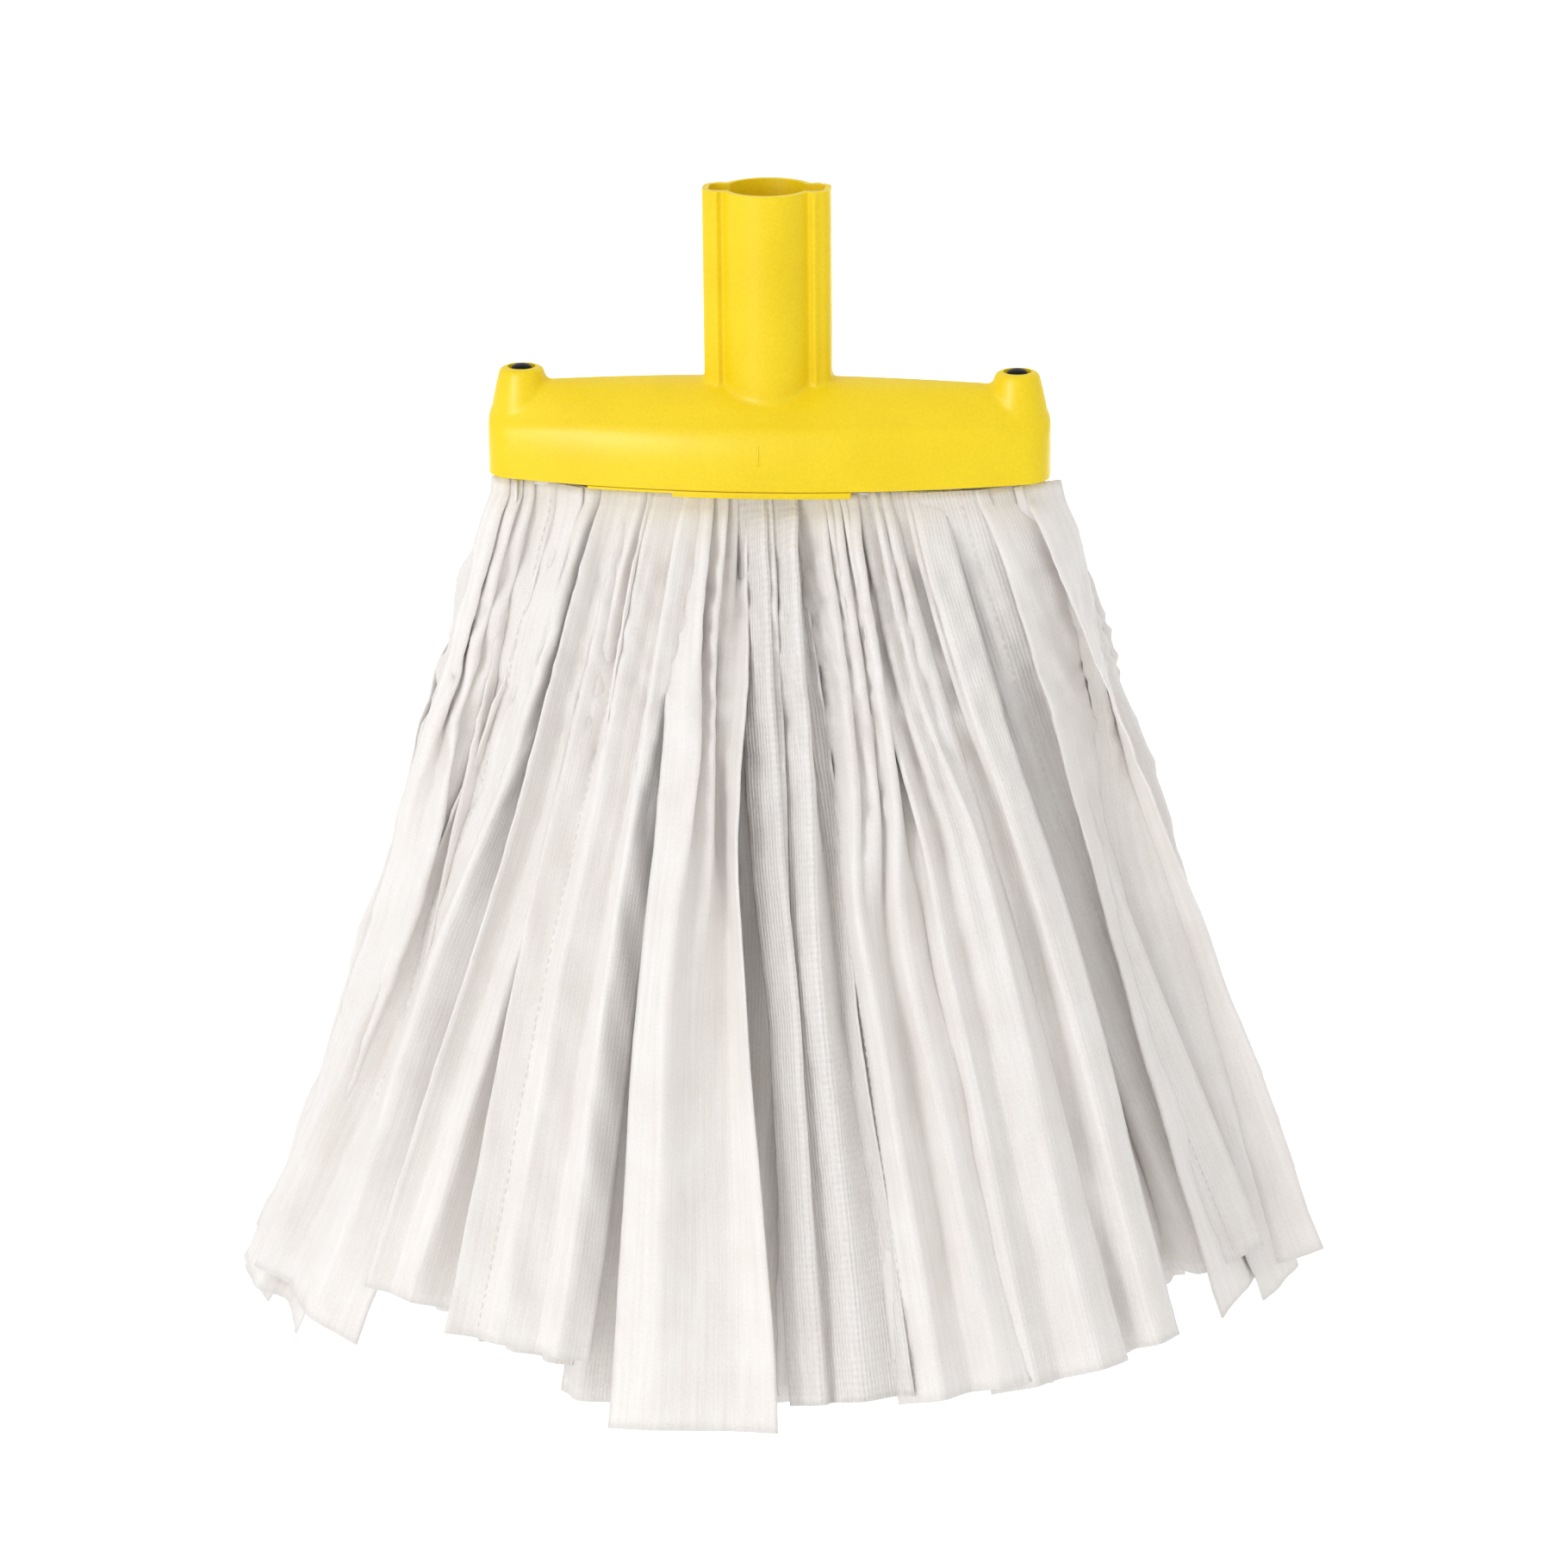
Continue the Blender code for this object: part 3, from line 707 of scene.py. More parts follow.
def fold_plan(rng, facets, splits):
    """Where a strip folds, and how each facet leans at its root and at its hem.

    facets is how many broad facets reach the hem. Each is split, near the root, into smaller
    ones, whose folds run out further down: splits is how many a broad facet may hold.
    """
    widths = rng.uniform(0.6, 1.5, facets)
    bounds = np.concatenate([[0], np.cumsum(widths / widths.sum())])
    edges, root, hem = [0.0], [], []
    sign = rng.choice([-1, 1])
    for start, end in zip(bounds, bounds[1:]):
        parts = int(rng.choice(splits))
        inner = rng.uniform(0.7, 1.3, parts)
        inner = start + (end - start) * np.cumsum(inner / inner.sum())
        lean = sign * rng.uniform(0.7, 1.15)
        for k, edge in enumerate(inner):
            edges.append(float(edge))
            root.append(sign * (-1) ** k * rng.uniform(0.8, 1.1))
            hem.append(lean + rng.uniform(-0.22, 0.22))
        sign = -sign
    count = len(root)
    fade = rng.uniform(12, 80, count)
    return {"edges": np.array(edges), "root": np.array(root), "hem": np.array(hem),
            "fade": fade, "over": rng.uniform(45, 110, count),
            "crease": rng.uniform(0.5, 1.6, count), "wander": rng.uniform(-2, 2, count)}


def columns(plan, width):
    """Places across the strip, in mm: close together at the folds, wider apart between."""
    places = [0.0, width]
    for edge in plan["edges"][1:-1] * width:
        places += [edge + d for d in (-2.4, -1.2, -0.5, 0, 0.5, 1.2, 2.4)]
    places = sorted(p for p in places if 0 <= p <= width)
    full = [places[0]]
    for place in places[1:]:
        gap = place - full[-1]
        if gap < 0.3:
            continue
        steps = max(1, math.ceil(gap / 1.5))
        full += [full[-1] + gap * (k + 1) / steps for k in range(steps)]
    full[-1] = width
    return np.array(full)


def lean_at(plan, u, v, width):
    """How the cloth leans at each u and v, from -1 to 1 or so: a rounded square wave."""
    values = plan["root"] + (plan["hem"] - plan["root"]) * ease(
        v[:, None], plan["fade"], plan["fade"] + plan["over"])
    lean = np.repeat(values[:, :1], len(u), axis=1)
    for k in range(1, values.shape[1]):
        place = plan["edges"][k] * width + plan["wander"][k] * ease(v, 60, 240)
        soft = plan["crease"][k] * (0.6 + 0.8 * ease(v, 20, 220))
        step = 0.5 + 0.5 * np.tanh((u[None, :] - place[:, None]) / soft[:, None])
        lean = lean + (values[:, k] - values[:, k - 1])[:, None] * step
    return lean


def section(lean, u, target):
    """Sections of cloth as wide as target: x across and y outwards, chord level and centred."""
    steps = np.diff(u)
    middle = (lean[:, 1:] + lean[:, :-1]) / 2
    low, high = np.zeros(len(lean)), np.full(len(lean), 1.5)
    for _ in range(26):
        angle = (low + high) / 2
        x = (np.cos(angle[:, None] * middle) * steps).sum(axis=1)
        y = (np.sin(angle[:, None] * middle) * steps).sum(axis=1)
        wide = np.hypot(x, y) > target
        low, high = np.where(wide, angle, low), np.where(wide, high, angle)
    turn = angle[:, None] * middle
    x = np.concatenate([np.zeros((len(lean), 1)), np.cumsum(np.cos(turn) * steps, axis=1)], 1)
    y = np.concatenate([np.zeros((len(lean), 1)), np.cumsum(np.sin(turn) * steps, axis=1)], 1)
    level = np.arctan2(y[:, -1:], x[:, -1:])
    x, y = x * np.cos(level) + y * np.sin(level), y * np.cos(level) - x * np.sin(level)
    return x - x[:, -1:] / 2, y - y.mean(axis=1, keepdims=True)


# %% Hang a strip
ROWS_CLOSE, ROWS_WIDE = 26, 46
CLOSE_ROWS_END = 62        # mm down the strip, where the small pleats near the head end
UP_INTO_HEAD = 0.008       # share of a strip's length that runs on up into the stitched middle
TYPICAL_LENGTH = 230       # mm
FLARE_START = 0.016        # share of the length, just below the clamp frame's lip
FLARE_LENGTH = 16          # mm, in which the cloth bends out from under the head
ROOT_DEPTH = 1.6           # mm, half the room for pleats inside the clamp frame


def hang(name, seed, look):
    """The surface of one strip as rows of points, in mm, with its places across and down."""
    rng = np.random.default_rng(seed)
    root, root_across, hem, hem_across = slab_ends(name)
    out = np.cross([0, 0, -1.0], hem_across)
    hem = hem + out * look["push"] + np.array([0, 0, look["lift"]])
    if "hem" in look:
        hem = np.array(look["hem"], float)
        facing = math.radians(look["facing"])
        hem_across = np.array([math.cos(facing), math.sin(facing), 0])
    s = np.linspace(-UP_INTO_HEAD, 1, 400)[:, None]
    path = root + (hem - root) * np.concatenate(
        [np.abs(s) ** look["curve"] * np.sign(s)] * 2 + [s], axis=1)
    root_out = np.cross([0, 0, -1.0], root_across)
    away = 1 - np.exp(-np.clip(s - FLARE_START, 0, None) * TYPICAL_LENGTH / FLARE_LENGTH)
    flare = look["bulge"] * away * (1 - s) ** 1.3
    sway = look["sway"] * np.sin(math.pi * s) ** 2
    wave = np.sin(s * rng.uniform(7, 11) + rng.uniform(0, 6)) * ease(s, 0.1, 0.5) * (1 - s)
    path = path + root_out * (flare + 1.5 * wave) + root_across * sway
    run = np.concatenate([[0], np.cumsum(np.linalg.norm(np.diff(path, axis=0), axis=1))])
    length = run[-1]
    v = np.concatenate([np.linspace(0, CLOSE_ROWS_END, ROWS_CLOSE),
                        np.linspace(CLOSE_ROWS_END, length, ROWS_WIDE)[1:]])
    line = np.stack([np.interp(v, run, path[:, i]) for i in range(3)], axis=1)
    along = np.interp(v, run, s[:, 0]).clip(0, 1)[:, None]
    down = np.gradient(line, v, axis=0)
    down /= np.linalg.norm(down, axis=1, keepdims=True)
    across = root_across + (hem_across - root_across) * along
    square = ease(v, 4, 50)[:, None]       # it goes level into the mouth, and hangs square below
    across -= square * down * (across * down).sum(axis=1, keepdims=True)
    across /= np.linalg.norm(across, axis=1, keepdims=True)
    outward = np.cross(down, across)

    plan = fold_plan(rng, look["facets"], look["splits"])
    u = columns(plan, STRIP_WIDTH)
    opening = ease(v, 2, length * 1.15) * 0.45 + (v / length) * 0.55
    target = look["root_width"] + (look["hem_width"] - look["root_width"]) * opening
    x, y = section(lean_at(plan, u, v, STRIP_WIDTH), u, target)
    room = ROOT_DEPTH + 0.34 * np.clip(v - 4, 0, None)
    y *= np.minimum(1, room / np.maximum(np.abs(y).max(axis=1), 1e-6))[:, None]
    grid_u, grid_v = np.meshgrid(u, v)
    crumple = ripples(rng, grid_u, grid_v, 12, 15) * 0.9 * (
        ease(grid_v, 6, 26) * (1 - ease(grid_v, 55, 130)))
    crumple += ripples(rng, grid_u, grid_v, 7, 10) * 0.22 * ease(grid_v, 10, 40)
    drift = ripples(rng, grid_u, grid_v, 34, 75) * 0.9 * ease(grid_v, 20, 90)
    y = y + crumple + drift
    tilt = np.radians(look["tilt"] * ease(v, 8, 170)
                      + look["root_tilt"] * ease(v, 3, 16) * (1 - ease(v, 16, 120)))
    tilt = (tilt + np.radians(rng.uniform(-3, 3)) * np.sin(v / 50))[:, None]
    x, y = x * np.cos(tilt) - y * np.sin(tilt), x * np.sin(tilt) + y * np.cos(tilt)
    layer = look["layer"] * ease(v, 9, 120) + (
        look["root_layer"] * ease(v, 3, 16) * (1 - ease(v, 16, 90)))
    y = y + layer[:, None]
    surface = line[:, None] + across[:, None] * x[..., None] + outward[:, None] * y[..., None]
    return surface, u, v


def cloth_mesh(name, surface, u, v, patch):
    """A quad mesh over the surface, with its own map in mm, moved by patch so no two match."""
    rows, cols = surface.shape[:2]
    index = np.arange(rows * cols).reshape(rows, cols)
    quads = np.stack([index[:-1, :-1], index[1:, :-1], index[1:, 1:], index[:-1, 1:]], axis=-1)
    mesh = bpy.data.meshes.new(name)
    mesh.from_pydata((surface.reshape(-1, 3) * MM).tolist(), [], quads.reshape(-1, 4).tolist())
    layer = mesh.uv_layers.new(name="strip_mm")
    flat = np.stack(np.meshgrid(u + patch * 61.7, v + patch * 23.3), axis=-1).reshape(-1, 2)
    loops = np.empty(len(mesh.loops), dtype=np.int32)
    mesh.loops.foreach_get("vertex_index", loops)
    layer.data.foreach_set("uv", flat[loops].ravel())
    mesh.shade_smooth()
    return mesh


# %% [markdown]
# ## Rows of stitches
#
# Some strips carry a plain row of stitches beside an edge, where two widths of cloth were
# joined before they were cut. A stitch is the same small loop, again and again along a line, so
# Geometry Nodes lay it: the line becomes a curve, is divided at the stitch's pitch, and one
# small bead of yarn is set at each point, turned along the line. The seed makes each one lie a
# little differently.

# %% The stitch tree


def stitch_tree():
    tree = bpy.data.node_groups.new("row_of_stitches", "GeometryNodeTree")
    tree.interface.new_socket("Row", in_out="INPUT", socket_type="NodeSocketGeometry")
    for name, kind, value in (("Pitch", "Float", 2.6 * MM), ("Stitch Length", "Float", 1.7 * MM),
                              ("Yarn", "Float", 0.45 * MM), ("Seed", "Int", 1)):
        socket = tree.interface.new_socket(name, in_out="INPUT", socket_type=f"NodeSocket{kind}")
        socket.default_value = value
    tree.interface.new_socket("Material", in_out="INPUT", socket_type="NodeSocketMaterial")
    tree.interface.new_socket("Stitches", in_out="OUTPUT", socket_type="NodeSocketGeometry")
    given = tree.nodes.new("NodeGroupInput").outputs
    curve = add(tree, "GeometryNodeMeshToCurve", {"Mesh": given["Row"]})
    points = add(tree, "GeometryNodeResampleCurve",
                 {"Curve": curve.outputs["Curve"], "Length": given["Pitch"]}, mode="LENGTH")
    bead = add(tree, "GeometryNodeMeshUVSphere", {"Segments": 6, "Rings": 5, "Radius": 0.5})
    size = add(tree, "ShaderNodeCombineXYZ",
               {"X": given["Yarn"], "Y": given["Yarn"], "Z": given["Stitch Length"]})
    vary = add(tree, "FunctionNodeRandomValue", {"Min": (0.85, 0.85, 0.75), "Max": (1.1, 1.1, 1.15),
                                                 "Seed": given["Seed"]}, data_type="FLOAT_VECTOR")
    sizes = add(tree, "ShaderNodeVectorMath", {0: size.outputs[0], 1: vary.outputs[0]},
                operation="MULTIPLY")
    jitter = add(tree, "FunctionNodeRandomValue", {"Min": (-0.14,) * 3, "Max": (0.14,) * 3,
                                                   "Seed": given["Seed"]},
                 data_type="FLOAT_VECTOR")
    line = add(tree, "GeometryNodeInputTangent")
    aim = add(tree, "ShaderNodeVectorMath", {0: line.outputs[0], 1: jitter.outputs[0]},
              operation="ADD")
    turn = add(tree, "FunctionNodeAlignRotationToVector", {"Vector": aim.outputs[0]}, axis="Z")
    laid = add(tree, "GeometryNodeInstanceOnPoints", {
        "Points": points.outputs["Curve"], "Instance": bead.outputs["Mesh"],
        "Rotation": turn.outputs["Rotation"], "Scale": sizes.outputs[0]})
    real = add(tree, "GeometryNodeRealizeInstances", {"Geometry": laid.outputs["Instances"]})
    done = add(tree, "GeometryNodeSetMaterial",
               {"Geometry": real.outputs["Geometry"], "Material": given["Material"]})
    tree.links.new(done.outputs["Geometry"], tree.nodes.new("NodeGroupOutput").inputs[0])
    return tree


STITCHES = stitch_tree()


def stitch_row(name, line, seed, **sizes):
    """A plain mesh of stitches along the points of line, in metres."""
    mesh = bpy.data.meshes.new(name)
    mesh.from_pydata(line, [(i, i + 1) for i in range(len(line) - 1)], [])
    ob = object_from(name, mesh)
    laid = ob.modifiers.new("stitches", "NODES")
    laid.node_group = STITCHES
    values = {"Seed": seed, "Material": thread, **sizes}
    for socket in STITCHES.interface.items_tree:
        if socket.in_out == "INPUT" and socket.name in values:
            laid[socket.identifier] = values[socket.name]
    applied(ob)
    ob.data.shade_smooth()
    return ob


# %% [markdown]
# How each strip hangs is a matter of taste and of chance. Most numbers are drawn at random from
# a fixed seed. The strips at the front and at both ends are placed one by one: a broad one hangs
# lowest, left of the middle, and the ones beside the ends are drawn back, so that the strips
# behind show.

# %% The look of every strip
INNER_NARROWER = 5         # mm: the inner fan has less room at its hem


def any_look(rng, number, count, outer):
    """A plain strip's look. Lengths are in mm and tilts in degrees.

    The strips lap over each other like shingles, outwards from the middle of the front and
    of the back, so that no gap opens towards the front or the back.
    """
    quarter = int((number - 1.5) % count / count * 4)
    lap = 1 if quarter % 2 == 0 else -1
    return {
        "push": rng.uniform(-9, 0) if outer else rng.uniform(-6, 2),
        "lift": rng.uniform(0, 12), "bulge": rng.uniform(6.5, 9) if outer else 4.0,
        "curve": 1.05, "sway": rng.uniform(-4, 4), "facets": int(rng.choice([3, 4, 4, 5])),
        "splits": (1, 1, 3), "root_width": rng.uniform(11, 18),
        "hem_width": rng.uniform(34, 41) - (0 if outer else INNER_NARROWER),
        "tilt": lap * rng.uniform(7, 13), "root_tilt": lap * rng.uniform(2, 8),
        "layer": rng.uniform(-1, 1), "root_layer": rng.uniform(-0.8, 0.8),
        "cloth": int(rng.choice([0, 0, 0, 1, 1, 2])),
    }


PLACED = {
    "outer_strip_01": {
        "hem": (-14, -99, -312), "facing": -3, "facets": 3, "splits": (1, 3), "root_width": 11,
        "hem_width": 45.6, "layer": 3, "tilt": 2, "root_tilt": 0, "sway": -3, "cloth": 0},
    "outer_strip_02": {
        "hem": (27, -92, -306), "facing": 6, "facets": 5, "hem_width": 34, "cloth": 2},
    "outer_strip_03": {
        "hem": (57, -90, -304), "facing": 14, "facets": 4, "hem_width": 36, "cloth": 0},
    "outer_strip_04": {
        "hem": (82, -81, -303), "facing": 22, "facets": 4, "hem_width": 38, "cloth": 1},
    "outer_strip_05": {
        "hem": (99, -70, -300), "facing": 34, "facets": 5, "hem_width": 34, "layer": -2},
    "outer_strip_06": {
        "hem": (119, -16, -298), "facing": 22, "facets": 3, "hem_width": 36, "layer": 0},
    "outer_strip_07": {
        "hem": (135, -11, -304), "facing": 50, "facets": 2, "hem_width": 41, "cloth": 0},
    "outer_strip_08": {"hem": (142, 10, -307), "facing": 78, "facets": 2, "hem_width": 42},
    "outer_strip_20": {
        "hem": (-147, 8, -314), "facing": -84, "facets": 3, "hem_width": 42, "curve": 1.4,
        "cloth": 0},
    "outer_strip_21": {
        "hem": (-141, -14, -314), "facing": -62, "facets": 3, "hem_width": 40, "curve": 1.4,
        "cloth": 0},
    "outer_strip_22": {
        "hem": (-130, -27, -311), "facing": -36, "facets": 3, "hem_width": 42, "tilt": -6,
        "curve": 1.35, "cloth": 0},
    "outer_strip_23": {
        "hem": (-90, -64, -294), "facing": -24, "facets": 4, "hem_width": 37, "layer": -2,
        "curve": 1.15, "cloth": 0},
    "outer_strip_24": {
        "hem": (-63, -83, -297), "facing": -13, "facets": 5, "hem_width": 40, "cloth": 0,
        "root_width": 25, "splits": (1,), "root_layer": 1},
    "outer_strip_14": {"root_width": 12, "hem_width": 45.5, "layer": 3, "tilt": 2, "facets": 3},
    "inner_strip_01": {"hem": (-38, -64, -321), "facing": -8},
    "inner_strip_02": {"hem": (-1, -64, -319), "facing": 0},
    "inner_strip_03": {"hem": (22, -66, -316), "facing": 4},
    "inner_strip_04": {"hem": (64, -62, -314), "facing": 12},
    "inner_strip_05": {"hem": (88, -50, -312), "facing": 28},
    "inner_strip_06": {"hem": (106, -6, -306), "facing": 30},
    "inner_strip_07": {"hem": (107, 18, -310), "facing": 110},
    "inner_strip_15": {"hem": (-112, 6, -312), "facing": -60},
    "inner_strip_16": {"hem": (-103, -20, -308), "facing": -18},
    "inner_strip_17": {"hem": (-84, -42, -306), "facing": -20},
    "inner_strip_18": {"hem": (-62, -56, -311), "facing": -12},
}

# %% Make the strips
STITCH_LIFT = 0.4          # mm, from the middle of the cloth to the middle of the yarn
INNER_SEEDS_FROM, LOOK_SEEDS_FROM = 100, 500
# The strips with a row of stitches, and how far across the strip it runs.
SEWN = {"outer_strip_02": 0.84, "outer_strip_03": 0.12, "outer_strip_24": 0.2,
        "outer_strip_06": 0.85, "outer_strip_11": 0.15, "outer_strip_14": 0.8,
        "outer_strip_17": 0.15, "outer_strip_21": 0.85, "inner_strip_04": 0.2,
        "inner_strip_12": 0.8}
strips = {}
for ring, count in (("outer", 24), ("inner", 18)):
    for number in range(1, count + 1):
        node = f"{ring}_strip_{number:02d}"
        seed = number + (INNER_SEEDS_FROM if ring == "inner" else 0)
        look = any_look(np.random.default_rng(seed + LOOK_SEEDS_FROM), number, count,
                        ring == "outer")
        look.update(PLACED.get(node, {}))
        surface, u, v = hang(node, seed, look)
        mesh = cloth_mesh(f"{ring}_ribbon_{number:02d}", surface, u, v, seed)
        ribbon = object_from(mesh.name, mesh, cloth_kinds[look["cloth"]])
        wall = ribbon.modifiers.new("thickness", "SOLIDIFY")
        wall.thickness = CLOTH_THICKNESS * MM
        wall.offset = 0
        applied(ribbon)
        strips[node] = ribbon
        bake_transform(ribbon)
        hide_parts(node)
        if node in SEWN:
            column = int(SEWN[node] * (len(u) - 1))
            lift = np.cross(np.gradient(surface, axis=0), np.gradient(surface, axis=1))
            lift /= np.linalg.norm(lift, axis=2, keepdims=True)
            line = (surface + lift * STITCH_LIFT)[2:-1, column] * MM
            row = stitch_row(f"{ring}_stitches_{number:02d}", line.tolist(), seed)
            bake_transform(row)
print(len(strips), "strips,", sum(len(s.data.polygons) for s in strips.values()), "faces")

# %% [markdown]
# ## The stitched middle
#
# Halfway along, all the strips lie across each other in one stack. It is sewn through, with a
# cotton tape along the top that keeps the thread from tearing out, and the clamp frame holds it
# up in the head. A stack shows as the edges of its layers, so its outline is drawn once for each
# layer, a little further in or out each time, and each edge is rounded. The wide part below is
# where the strips bend down. Under it the last strips still lie side by side, each lapping over
# the next one, with the rows of stitches across them.

# %% Layers of cloth
CORE_LOW, CORE_HIGH = (Vector(corner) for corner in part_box("strip_core"))
CORE_INSET = HALF_LENGTH - CORE_HIGH.x
BLOCK_HALF = (54 * MM, 10.5 * MM)
BLOCK_LOW = CORE_LOW.z + 4.4 * MM      # where the wide part ends and the block starts
LAPS = 9                   # strips side by side under the middle
LAP_DEPTH = 1.4 * MM


def flange_ring(inset, z, steps=40):
    """The wide part's outline: the skirt's own, further in."""
    end = HALF_LENGTH - inset
    places = [end * math.sin(math.pi / 2 * i / steps) for i in range(-steps, steps + 1)]
    ring = [(x, -skirt_half_depth(x, inset), z) for x in places]
    return ring + [(x, -y, z) for x, y, _ in reversed(ring)]


def block_ring(inset, z):
    return wing_ring(BLOCK_HALF[0] - inset, BLOCK_HALF[1] - inset, 5 * MM - inset, z)


def stack_of_cloth(name, ring_at, inset, low, high, rng):
    """Layers with rounded edges, from low to high, inside the outline ring_at(inset, z)."""
    count = round((high - low) / (1.1 * CLOTH_THICKNESS * MM))
    pitch = (high - low) / count
    rings = []
    for layer in range(count):
        further_in = inset + rng.uniform(0, 0.6) * MM
        for up, edge in ((0.03, 0.4), (0.2, 0.1), (0.5, 0), (0.8, 0.1), (0.97, 0.4)):
            rings.append(ring_at(further_in + edge * MM, low + (layer + up) * pitch))
    return skin(name, rings)


def lap(name, x, width, rng):
    """One strip lying across the underside: higher along one edge, to lap over the next."""
    rings = []
    steps = 8
    for step in range(steps + 1):
        at = x + width * (step / steps - 0.5)
        half = skirt_half_depth(at, CORE_INSET + 0.5 * MM)
        low = CORE_LOW.z + LAP_DEPTH * 0.45 * step / steps + rng.uniform(0, 0.08) * MM
        high = low + CLOTH_THICKNESS * MM * (0.75 if step in (0, steps) else 1)
        rings.append([(at, -half, low), (at, half, low), (at, half, high), (at, -half, high)])
    return skin(name, rings)


rng = np.random.default_rng(71)
middle_meshes = [
    stack_of_cloth("flange", flange_ring, CORE_INSET, CORE_LOW.z + LAP_DEPTH, BLOCK_LOW, rng),
    stack_of_cloth("block", block_ring, 0, BLOCK_LOW + 0.02 * MM, CORE_HIGH.z, rng)]
lap_room = 2 * (CORE_HIGH.x - 4 * MM) / LAPS
for k in range(LAPS):
    middle_meshes.append(lap("lap", (k - (LAPS - 1) / 2) * lap_room, lap_room * 1.06, rng))
middle_mesh = joined("stitched_middle", middle_meshes)
core = object_from("stitched_middle", middle_mesh, nonwoven("nonwoven_middle", 0.3))
layer = middle_mesh.uv_layers.new(name="strip_mm")
for loop in middle_mesh.loops:
    place = middle_mesh.vertices[loop.vertex_index].co / MM
    layer.data[loop.index].uv = (place.x, place.y + place.z)
shade(core, 60)
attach(core, "head")
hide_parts("strip_core")
print("stitched middle:", len(middle_mesh.polygons), "faces")

# %% [markdown]
# **Cotton tape.** The tape is a plain weave: threads along it pass over and under threads across
# it. Two wave patterns at right angles, multiplied, give the little pillows of a weave, and a
# noise gives the thick and thin places of spun yarn. The edges are rolled, because a tape's
# outer threads turn back on themselves there.

# %% Binding tape
YARN_PITCH = 0.9           # mm, a little coarser than the real 0.5 mm


def woven_cotton():
    made, tree, shader = new_material("cotton_tape")
    place = add(tree, "ShaderNodeTexCoord").outputs["Object"]
    threads = [add(tree, "ShaderNodeTexWave", {
        "Vector": place, "Scale": WAVE_PERIOD / (YARN_PITCH * MM), "Distortion": 0.4},
        bands_direction=way).outputs["Fac"] for way in ("X", "Y")]
    pillow = add(tree, "ShaderNodeMath", {0: threads[0], 1: threads[1]}, operation="MULTIPLY")
    slub = add(tree, "ShaderNodeTexNoise", {"Vector": place, "Scale": 1 / (2.5 * MM), "Detail": 4})
    tone = add(tree, "ShaderNodeMath", {0: pillow.outputs[0], 1: 0.6, 2: slub.outputs["Fac"]},
               operation="MULTIPLY_ADD")
    colour = ramp(tree, tone.outputs[0], [(0.3, linear("#cfc6b6")), (0.9, linear("#f1ece2"))])
    tree.links.new(colour, shader.inputs["Base Color"])
    woven = add(tree, "ShaderNodeBump", {
        "Height": pillow.outputs[0], "Strength": 0.8, "Distance": 0.2 * MM})
    tree.links.new(woven.outputs["Normal"], shader.inputs["Normal"])
    shader.inputs["Roughness"].default_value = 0.92
    shader.inputs["Sheen Weight"].default_value = 0.2
    return made


TAPE_LOW, TAPE_HIGH = (Vector(corner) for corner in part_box("binding_tape"))
tape_high = TAPE_HIGH.z - TAPE_LOW.z
tape_rings = [wing_ring(TAPE_HIGH.x - inset * MM, TAPE_HIGH.y - inset * MM, 1 * MM,
                        TAPE_LOW.z + share * tape_high)
              for share, inset in ((0, 0.4), (0.15, 0.1), (0.5, 0), (0.85, 0.1), (1, 0.4),
                                   (0.93, 0.9), (0.8, 1.3))]
tape = object_from("sewn_tape", skin("sewn_tape", tape_rings), woven_cotton())
shade(tape, 50)
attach(tape, "head")
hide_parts("binding_tape")
print("tape:", len(tape.data.polygons), "faces")

# %% Rows of stitches through the middle
MIDDLE_ROWS = (("tape_row_front", -2.2, TAPE_HIGH.x - 3 * MM, TAPE_LOW.z + 0.8 * tape_high),
               ("tape_row_back", 2.2, TAPE_HIGH.x - 3 * MM, TAPE_LOW.z + 0.8 * tape_high),
               ("under_row_front", -2.2, TAPE_HIGH.x - 3 * MM, CORE_LOW.z + 0.1 * MM),
               ("under_row_back", 2.2, TAPE_HIGH.x - 3 * MM, CORE_LOW.z + 0.1 * MM))
for number, (name, y, reach, z) in enumerate(MIDDLE_ROWS):
    line = [(x, y * MM, z) for x in np.linspace(-reach, reach, 40).tolist()]
    row = stitch_row(name, line, 300 + number)
    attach(row, "head")
print(len(MIDDLE_ROWS), "rows of stitches through the middle")

# %% [markdown]
# ## Floor, lights and camera
#
# The object hangs in a plain white room. White paper lies far below it, under lamps of its own
# whose light is kept narrow, so that the paper is white and the back of the cloth isn't burnt
# out. The sky gives an even light, and one large soft lamp from the upper left gives the folds
# their shade. A small card adds gloss, and lights nothing that is matt. The lens is long, as for
# a catalogue picture.

# %% Floor and sky
FLOOR_Z = -0.9
floor_mesh = slab("studio_floor", (-12, -12, FLOOR_Z - 0.02), (12, 12, FLOOR_Z))
floor = object_from("studio_floor", floor_mesh)
paper, tree, shader = new_material("studio_paper")
place = add(tree, "ShaderNodeTexCoord").outputs["Object"]
tooth = add(tree, "ShaderNodeTexNoise", {"Vector": place, "Scale": 60.0})
colour = ramp(tree, tooth.outputs["Fac"], [(0.3, linear("#fbfbfb")), (0.7, linear("#ffffff"))])
tree.links.new(colour, shader.inputs["Base Color"])
shader.inputs["Roughness"].default_value = 1.0
shader.inputs["Specular IOR Level"].default_value = 0.0
floor.data.materials.append(paper)

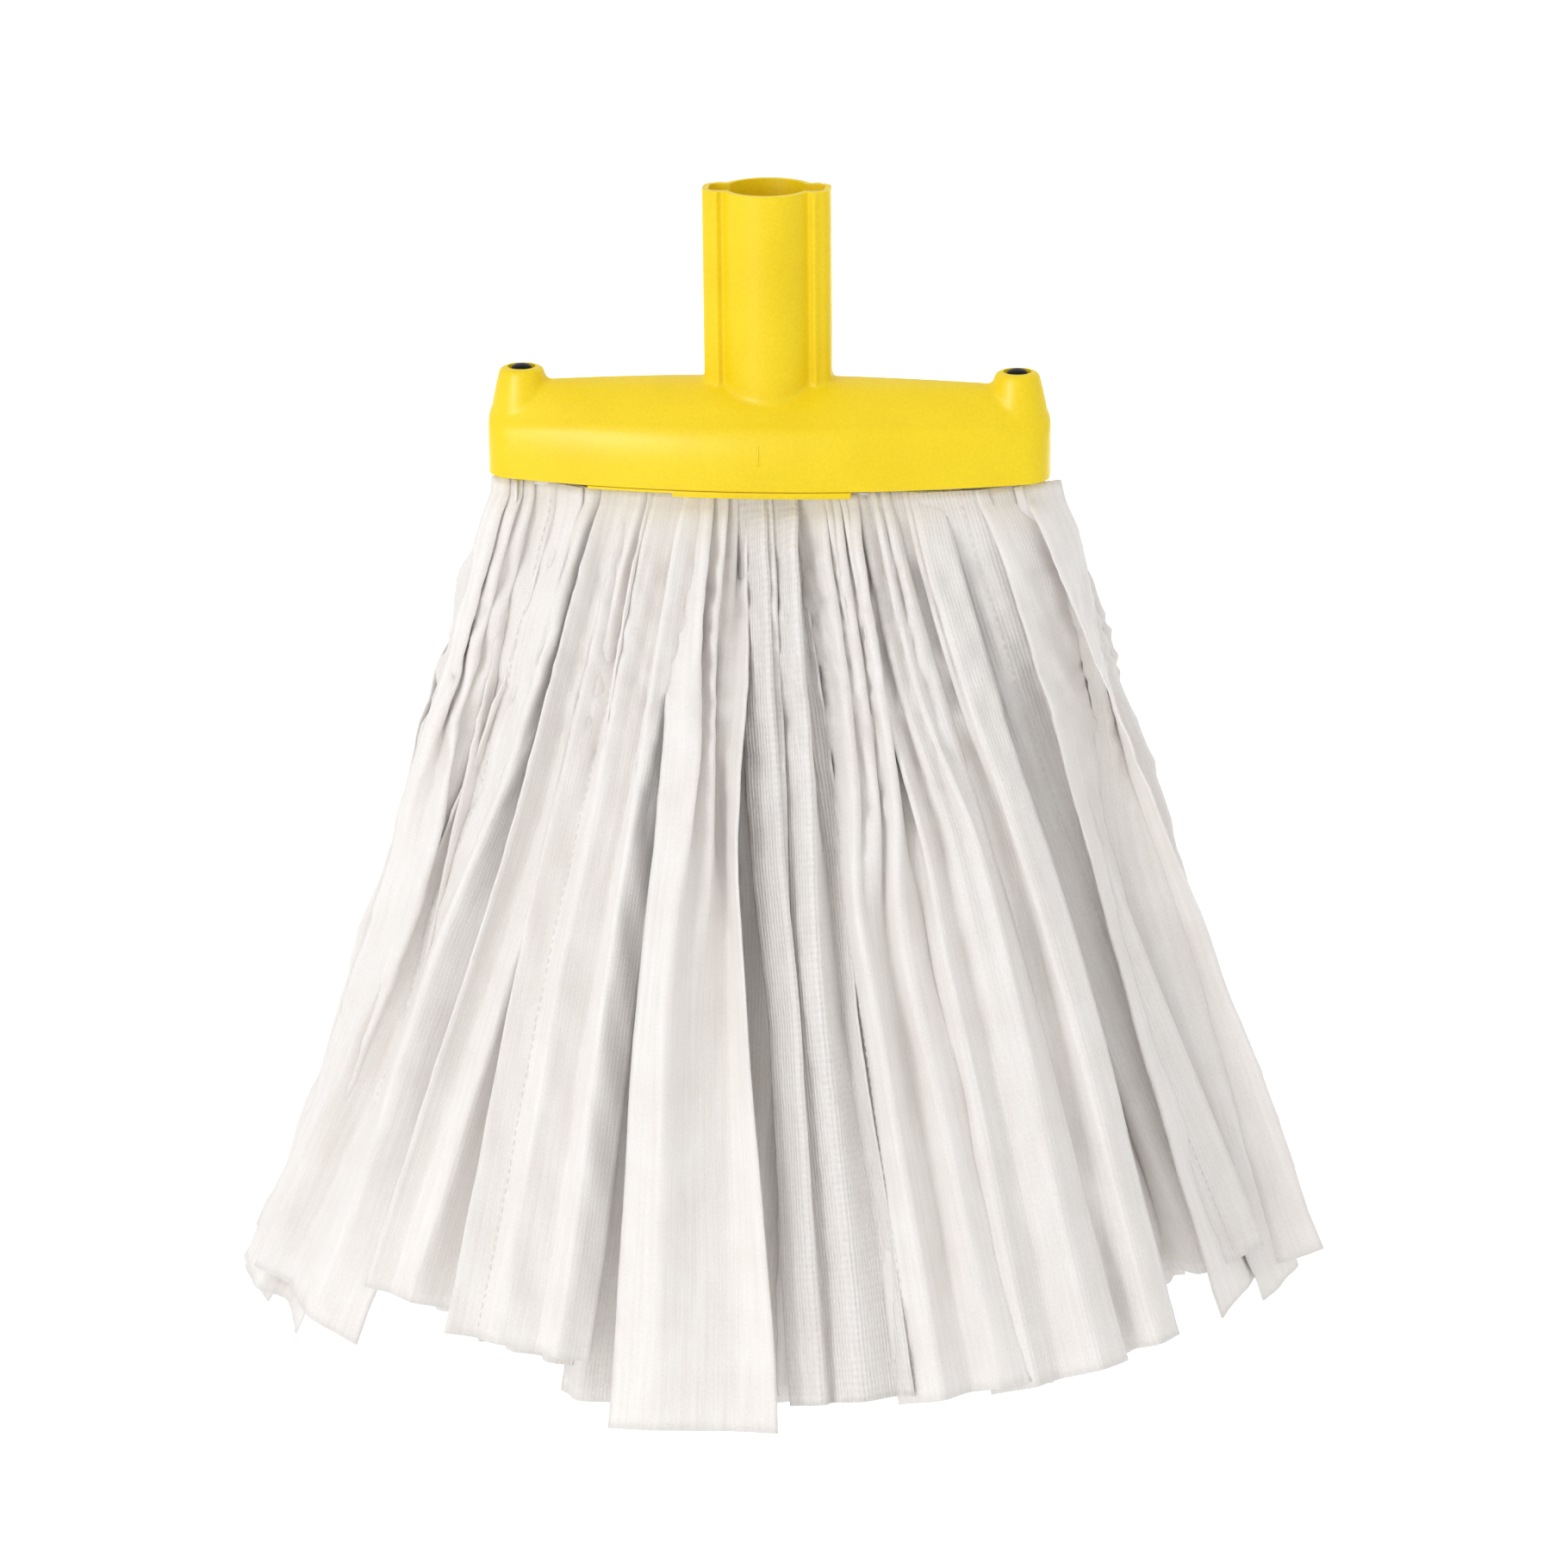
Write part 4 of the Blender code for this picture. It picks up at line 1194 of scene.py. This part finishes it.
world = bpy.data.worlds.new("studio")
bpy.context.scene.world = world
world.use_nodes = True
background = world.node_tree.nodes["Background"]
background.inputs["Color"].default_value = linear("#ffffff")
background.inputs["Strength"].default_value = 0.86
print("floor at", FLOOR_Z, "m")

# %% Lamps

def softbox(name, place, aim, size, power):
    light = bpy.data.lights.new(name, "AREA")
    light.shape = "DISK"
    light.size = size
    light.energy = power
    ob = bpy.data.objects.new(name, light)
    bpy.context.scene.collection.objects.link(ob)
    ob.location = place
    ob.rotation_euler = (Vector(aim) - Vector(place)).to_track_quat("-Z", "Y").to_euler()
    return ob


MIDDLE = (0, 0, -0.17)
softbox("key", (-1.35, -2.0, 0.35), MIDDLE, 0.8, 11.5)
softbox("top", (-0.9, -1.0, 1.6), MIDDLE, 0.9, 4)
gloss = softbox("gloss_card", (-0.82, -1.44, 0.38), (0, 0, -0.06), 0.45, 14)
gloss.visible_diffuse = False
for x, y in ((-1.6, 2.2), (1.6, 2.2), (0, 4.5)):
    wash = softbox("floor_wash", (x, y, 0.9), (x, y + 0.4, FLOOR_Z), 2.5, 36)
    wash.data.spread = math.radians(100)

# %% Camera
DISTANCE = 1.5
YAW, PITCH, ROLL = (math.radians(a) for a in (4.7, 18.52, -0.54))
LENS = 127.0
back = Vector((math.sin(YAW) * math.cos(PITCH), -math.cos(YAW) * math.cos(PITCH), math.sin(PITCH)))
right = Vector((math.cos(YAW), math.sin(YAW), 0))
up = back.cross(right)
right, up = (right * math.cos(ROLL) + up * math.sin(ROLL),
             up * math.cos(ROLL) - right * math.sin(ROLL))
aim = Vector((0, 0, -0.15)) + right * 0.0032 - up * 0.0145
lens = bpy.data.cameras.new("camera")
lens.lens = LENS
lens.clip_end = 60
camera = bpy.data.objects.new("camera", lens)
bpy.context.scene.collection.objects.link(camera)
camera.matrix_world = (
    (right.x, right.y, right.z, 0), (up.x, up.y, up.z, 0), (back.x, back.y, back.z, 0),
    (*(aim + back * DISTANCE), 1))
bpy.context.scene.camera = camera
bpy.context.scene.view_settings.view_transform = "Standard"
print("camera at", [round(value, 3) for value in camera.matrix_world.translation])
